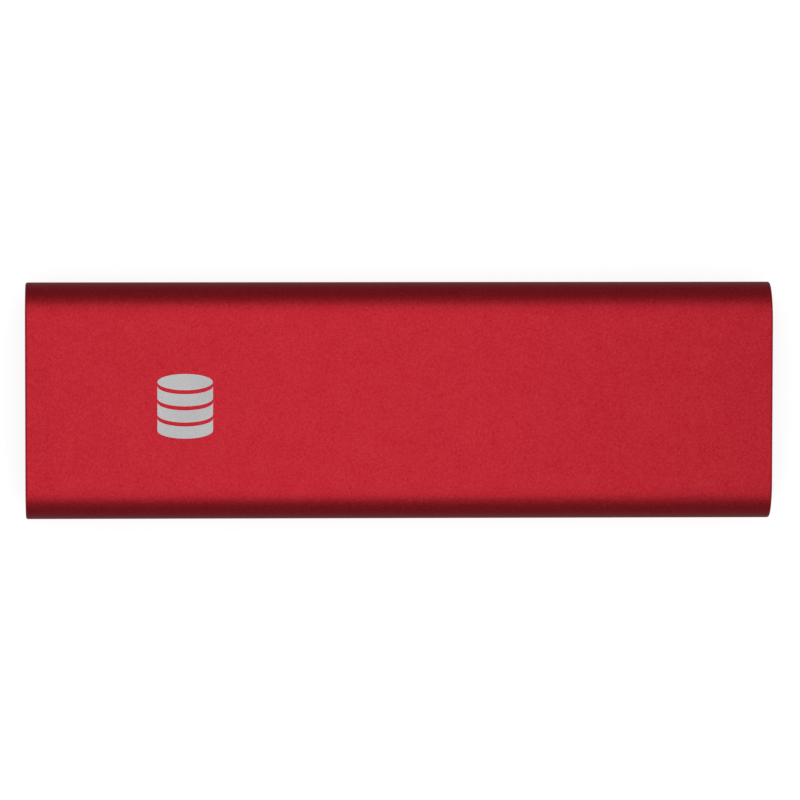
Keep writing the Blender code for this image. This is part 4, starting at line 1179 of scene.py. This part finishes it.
def make_board_parts():
    make_flat_package("bridge_controller", 0.4 * MM, 12, 0.3 * MM)
    make_flat_package("module_power_chip", 0.5 * MM, 5, 0.22 * MM)
    make_leaded_package("firmware_flash", ((-1.9, -0.63, 0.63, 1.9), (-1.9, -0.63, 0.63, 1.9)), 0.4 * MM)
    make_leaded_package("voltage_regulator", ((-0.95, 0.95), (-0.95, 0.0, 0.95)), 0.35 * MM)
    for name in ("flash_controller", "dram_chip", "nand_chip_1", "nand_chip_2"):
        make_array_package(name)
    make_inductor("power_inductor", 0.8 * MM)
    make_inductor("module_inductor", 0.5 * MM)
    make_crystal()
    for prefix, count in (("board_capacitor", 8), ("module_capacitor", 10)):
        for number in range(1, count + 1):
            name = f"{prefix}_{number}"
            make_two_ended(name, *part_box(name), "ceramic", name)
    # Small resistors between the larger parts, which the CAD leaves out.
    for number, (board, x, y) in enumerate(RESISTORS, 1):
        z = ON_BOARD if board == "bridge" else ON_MODULE
        low = Vector(((x - 0.25) * MM, (y - 0.5) * MM, z))
        high = Vector(((x + 0.25) * MM, (y + 0.5) * MM, z + 0.35 * MM))
        make_two_ended(f"{board}_resistor_{number}", low, high, "resistor_black", along=1)


# ---- Socket, standoff, thermal pad and insulator ----

SOCKET_SIDE_Y, SOCKET_KEY_LOW, SOCKET_KEY_HIGH = 10.1 * MM, -6.55 * MM, -5.65 * MM
SOCKET_KEY_X, SOCKET_REAR_X = 29.15 * MM, 32.7 * MM
SOCKET_FLARE, SOCKET_CLEARANCE = 0.35 * MM, 0.15 * MM
HAIR = 0.001 * MM  # keeps two cutters from ending in one plane
STANDOFF_BORE, STANDOFF_RADIUS, STANDOFF_PIN, STANDOFF_CHAMFER = 0.85 * MM, 2.2 * MM, 1.6 * MM, 0.12 * MM
PAD_BULGE, PAD_CORNER, PAD_STEPS = 0.55 * MM, 1.0 * MM, 14
FILM_THICKNESS, FILM_CORNER, FILM_STEPS = 0.08 * MM, 1.2 * MM, 60
RIPPLE_HIGH, RIPPLE_TURN = 0.035 * MM, 0.55  # the turn is in radians, for each step along the film


def make_socket():
    """The module's socket: a slotted housing with a comb of contacts and solder tails behind."""
    low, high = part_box("module_socket")
    side, flare = SOCKET_SIDE_Y, SOCKET_FLARE
    z0, z1 = MODULE_Z - SOCKET_CLEARANCE, MODULE_TOP + SOCKET_CLEARANCE
    slots = [((-side, side), SOCKET_KEY_X), ((-side, SOCKET_KEY_LOW), SOCKET_REAR_X),
             ((SOCKET_KEY_HIGH, side), SOCKET_REAR_X)]
    cutters = [Form().box((low.x - PAST, end_x), ys, (z0, z1)) for ys, end_x in slots]
    profile = [(low.x - flare, z0 - 2 * flare), (low.x + flare, z0 + HAIR), (low.x + flare, z1 - HAIR),
               (low.x - flare, z1 + 2 * flare)]
    verts = [(x, y, z) for y in (-side, side) for x, z in profile]
    faces = [(0, 1, 2, 3), (4, 5, 6, 7), (0, 1, 5, 4), (1, 2, 6, 5), (2, 3, 7, 6), (3, 0, 4, 7)]
    cutters.append(Form().add(verts, faces))
    comb, springs = Form(), Form()
    for y in row(38, CONTACT_PITCH):
        if SOCKET_KEY_LOW - 0.25 * MM < y < SOCKET_KEY_HIGH + 0.25 * MM:
            continue
        comb.box((low.x + 1.1 * MM, high.x - 0.9 * MM), about(y, 0.13 * MM),
                 (high.z - 0.3 * MM, high.z + PAST))
        springs.box((low.x + 1.2 * MM, high.x - 1.0 * MM), about(y, 0.1 * MM),
                    (high.z - 0.42 * MM, high.z - 0.22 * MM), STAMPED_EDGE, 1)
        gull_wing(springs, high.x - 0.1 * MM, y, 1, "X", BOARD_TOP, BOARD_TOP + 0.7 * MM, 0.2 * MM)
    housing = Form().block(low, high, 0.12 * MM)
    make_piece("socket_housing", housing, "socket_plastic", "module_socket", cutters + [comb])
    make_piece("socket_contacts", springs, "gold")
    tabs = Form()
    xs, zs = (low.x + 1.5 * MM, low.x + 3.3 * MM), (BOARD_TOP, BOARD_TOP + 0.12 * MM)
    for sign in SIGNS:
        tabs.box(xs, (sign * (high.y - 0.3 * MM), sign * (high.y + 0.6 * MM)), zs, STAMPED_EDGE, 1)
    make_piece("socket_tabs", tabs, "tin")


def make_standoff():
    """A turned brass nut with a shoulder that the module lies on."""
    low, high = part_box("module_standoff")
    bore, wide, pin, chamfer = STANDOFF_BORE, STANDOFF_RADIUS, STANDOFF_PIN, STANDOFF_CHAMFER
    shoulder = MODULE_Z - SOLDER_GAP
    profile = [
        (bore, low.z), (wide - chamfer, low.z), (wide, low.z + chamfer), (wide, shoulder - chamfer),
        (wide - chamfer, shoulder), (pin, shoulder), (pin, high.z - chamfer), (pin - chamfer, high.z),
        (bore, high.z),
    ]
    form = Form().turn(profile, stood((MODULE_REAR_X, 0, 0)), closed=True)
    make_piece("brass_standoff", form, "brass", "module_standoff")


def make_thermal_pad():
    """A soft pad whose sides bulge where it is squeezed between the chip and the shell."""
    low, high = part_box("thermal_pad")
    layers = []
    for i in range(PAD_STEPS + 1):
        share = i / PAD_STEPS
        bulge = math.sqrt(max(0.0, 1 - (2 * share - 1) ** 2))
        z = low.z + (high.z - low.z) * (1 - math.cos(math.pi * share)) / 2
        layers.append((PAD_BULGE * (1 - bulge), z))
    form = Form().stack(layers, low, high, PAD_CORNER, 8)
    pad = make_piece("silicone_pad", form, "silicone", "thermal_pad")


def make_insulator():
    """A film on the shell's floor, with rounded corners and a slight ripple along it."""
    low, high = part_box("insulator_sheet")
    step = (high.x - low.x) / FILM_STEPS
    rings = []
    for i in range(FILM_STEPS + 1):
        x = low.x + (high.x - low.x) * i / FILM_STEPS
        from_end = min(1.0, min(i, FILM_STEPS - i) * step / FILM_CORNER)
        inset = FILM_CORNER * (1 - math.sin(math.pi / 2 * from_end))
        z = low.z + RIPPLE_HIGH * (1 + math.sin(i * RIPPLE_TURN))
        y0, y1 = low.y + inset, high.y - inset
        rings.append([(x, y0, z), (x, y1, z), (x, y1, z + FILM_THICKNESS), (x, y0, z + FILM_THICKNESS)])
    make_piece("insulator_film", Form().loft(rings), "film", "insulator_sheet", body="case")


bpy.context.scene.view_settings.view_transform = "Standard"
make_camera()
make_world()
make_panel()
make_floor()
make_shell()
make_caps()
make_screws()
make_usb_shell()
make_usb_tongue()
make_status_light()
make_bridge_board()
make_module_board()
make_board_parts()
make_socket()
make_standoff()
make_thermal_pad()
make_insulator()
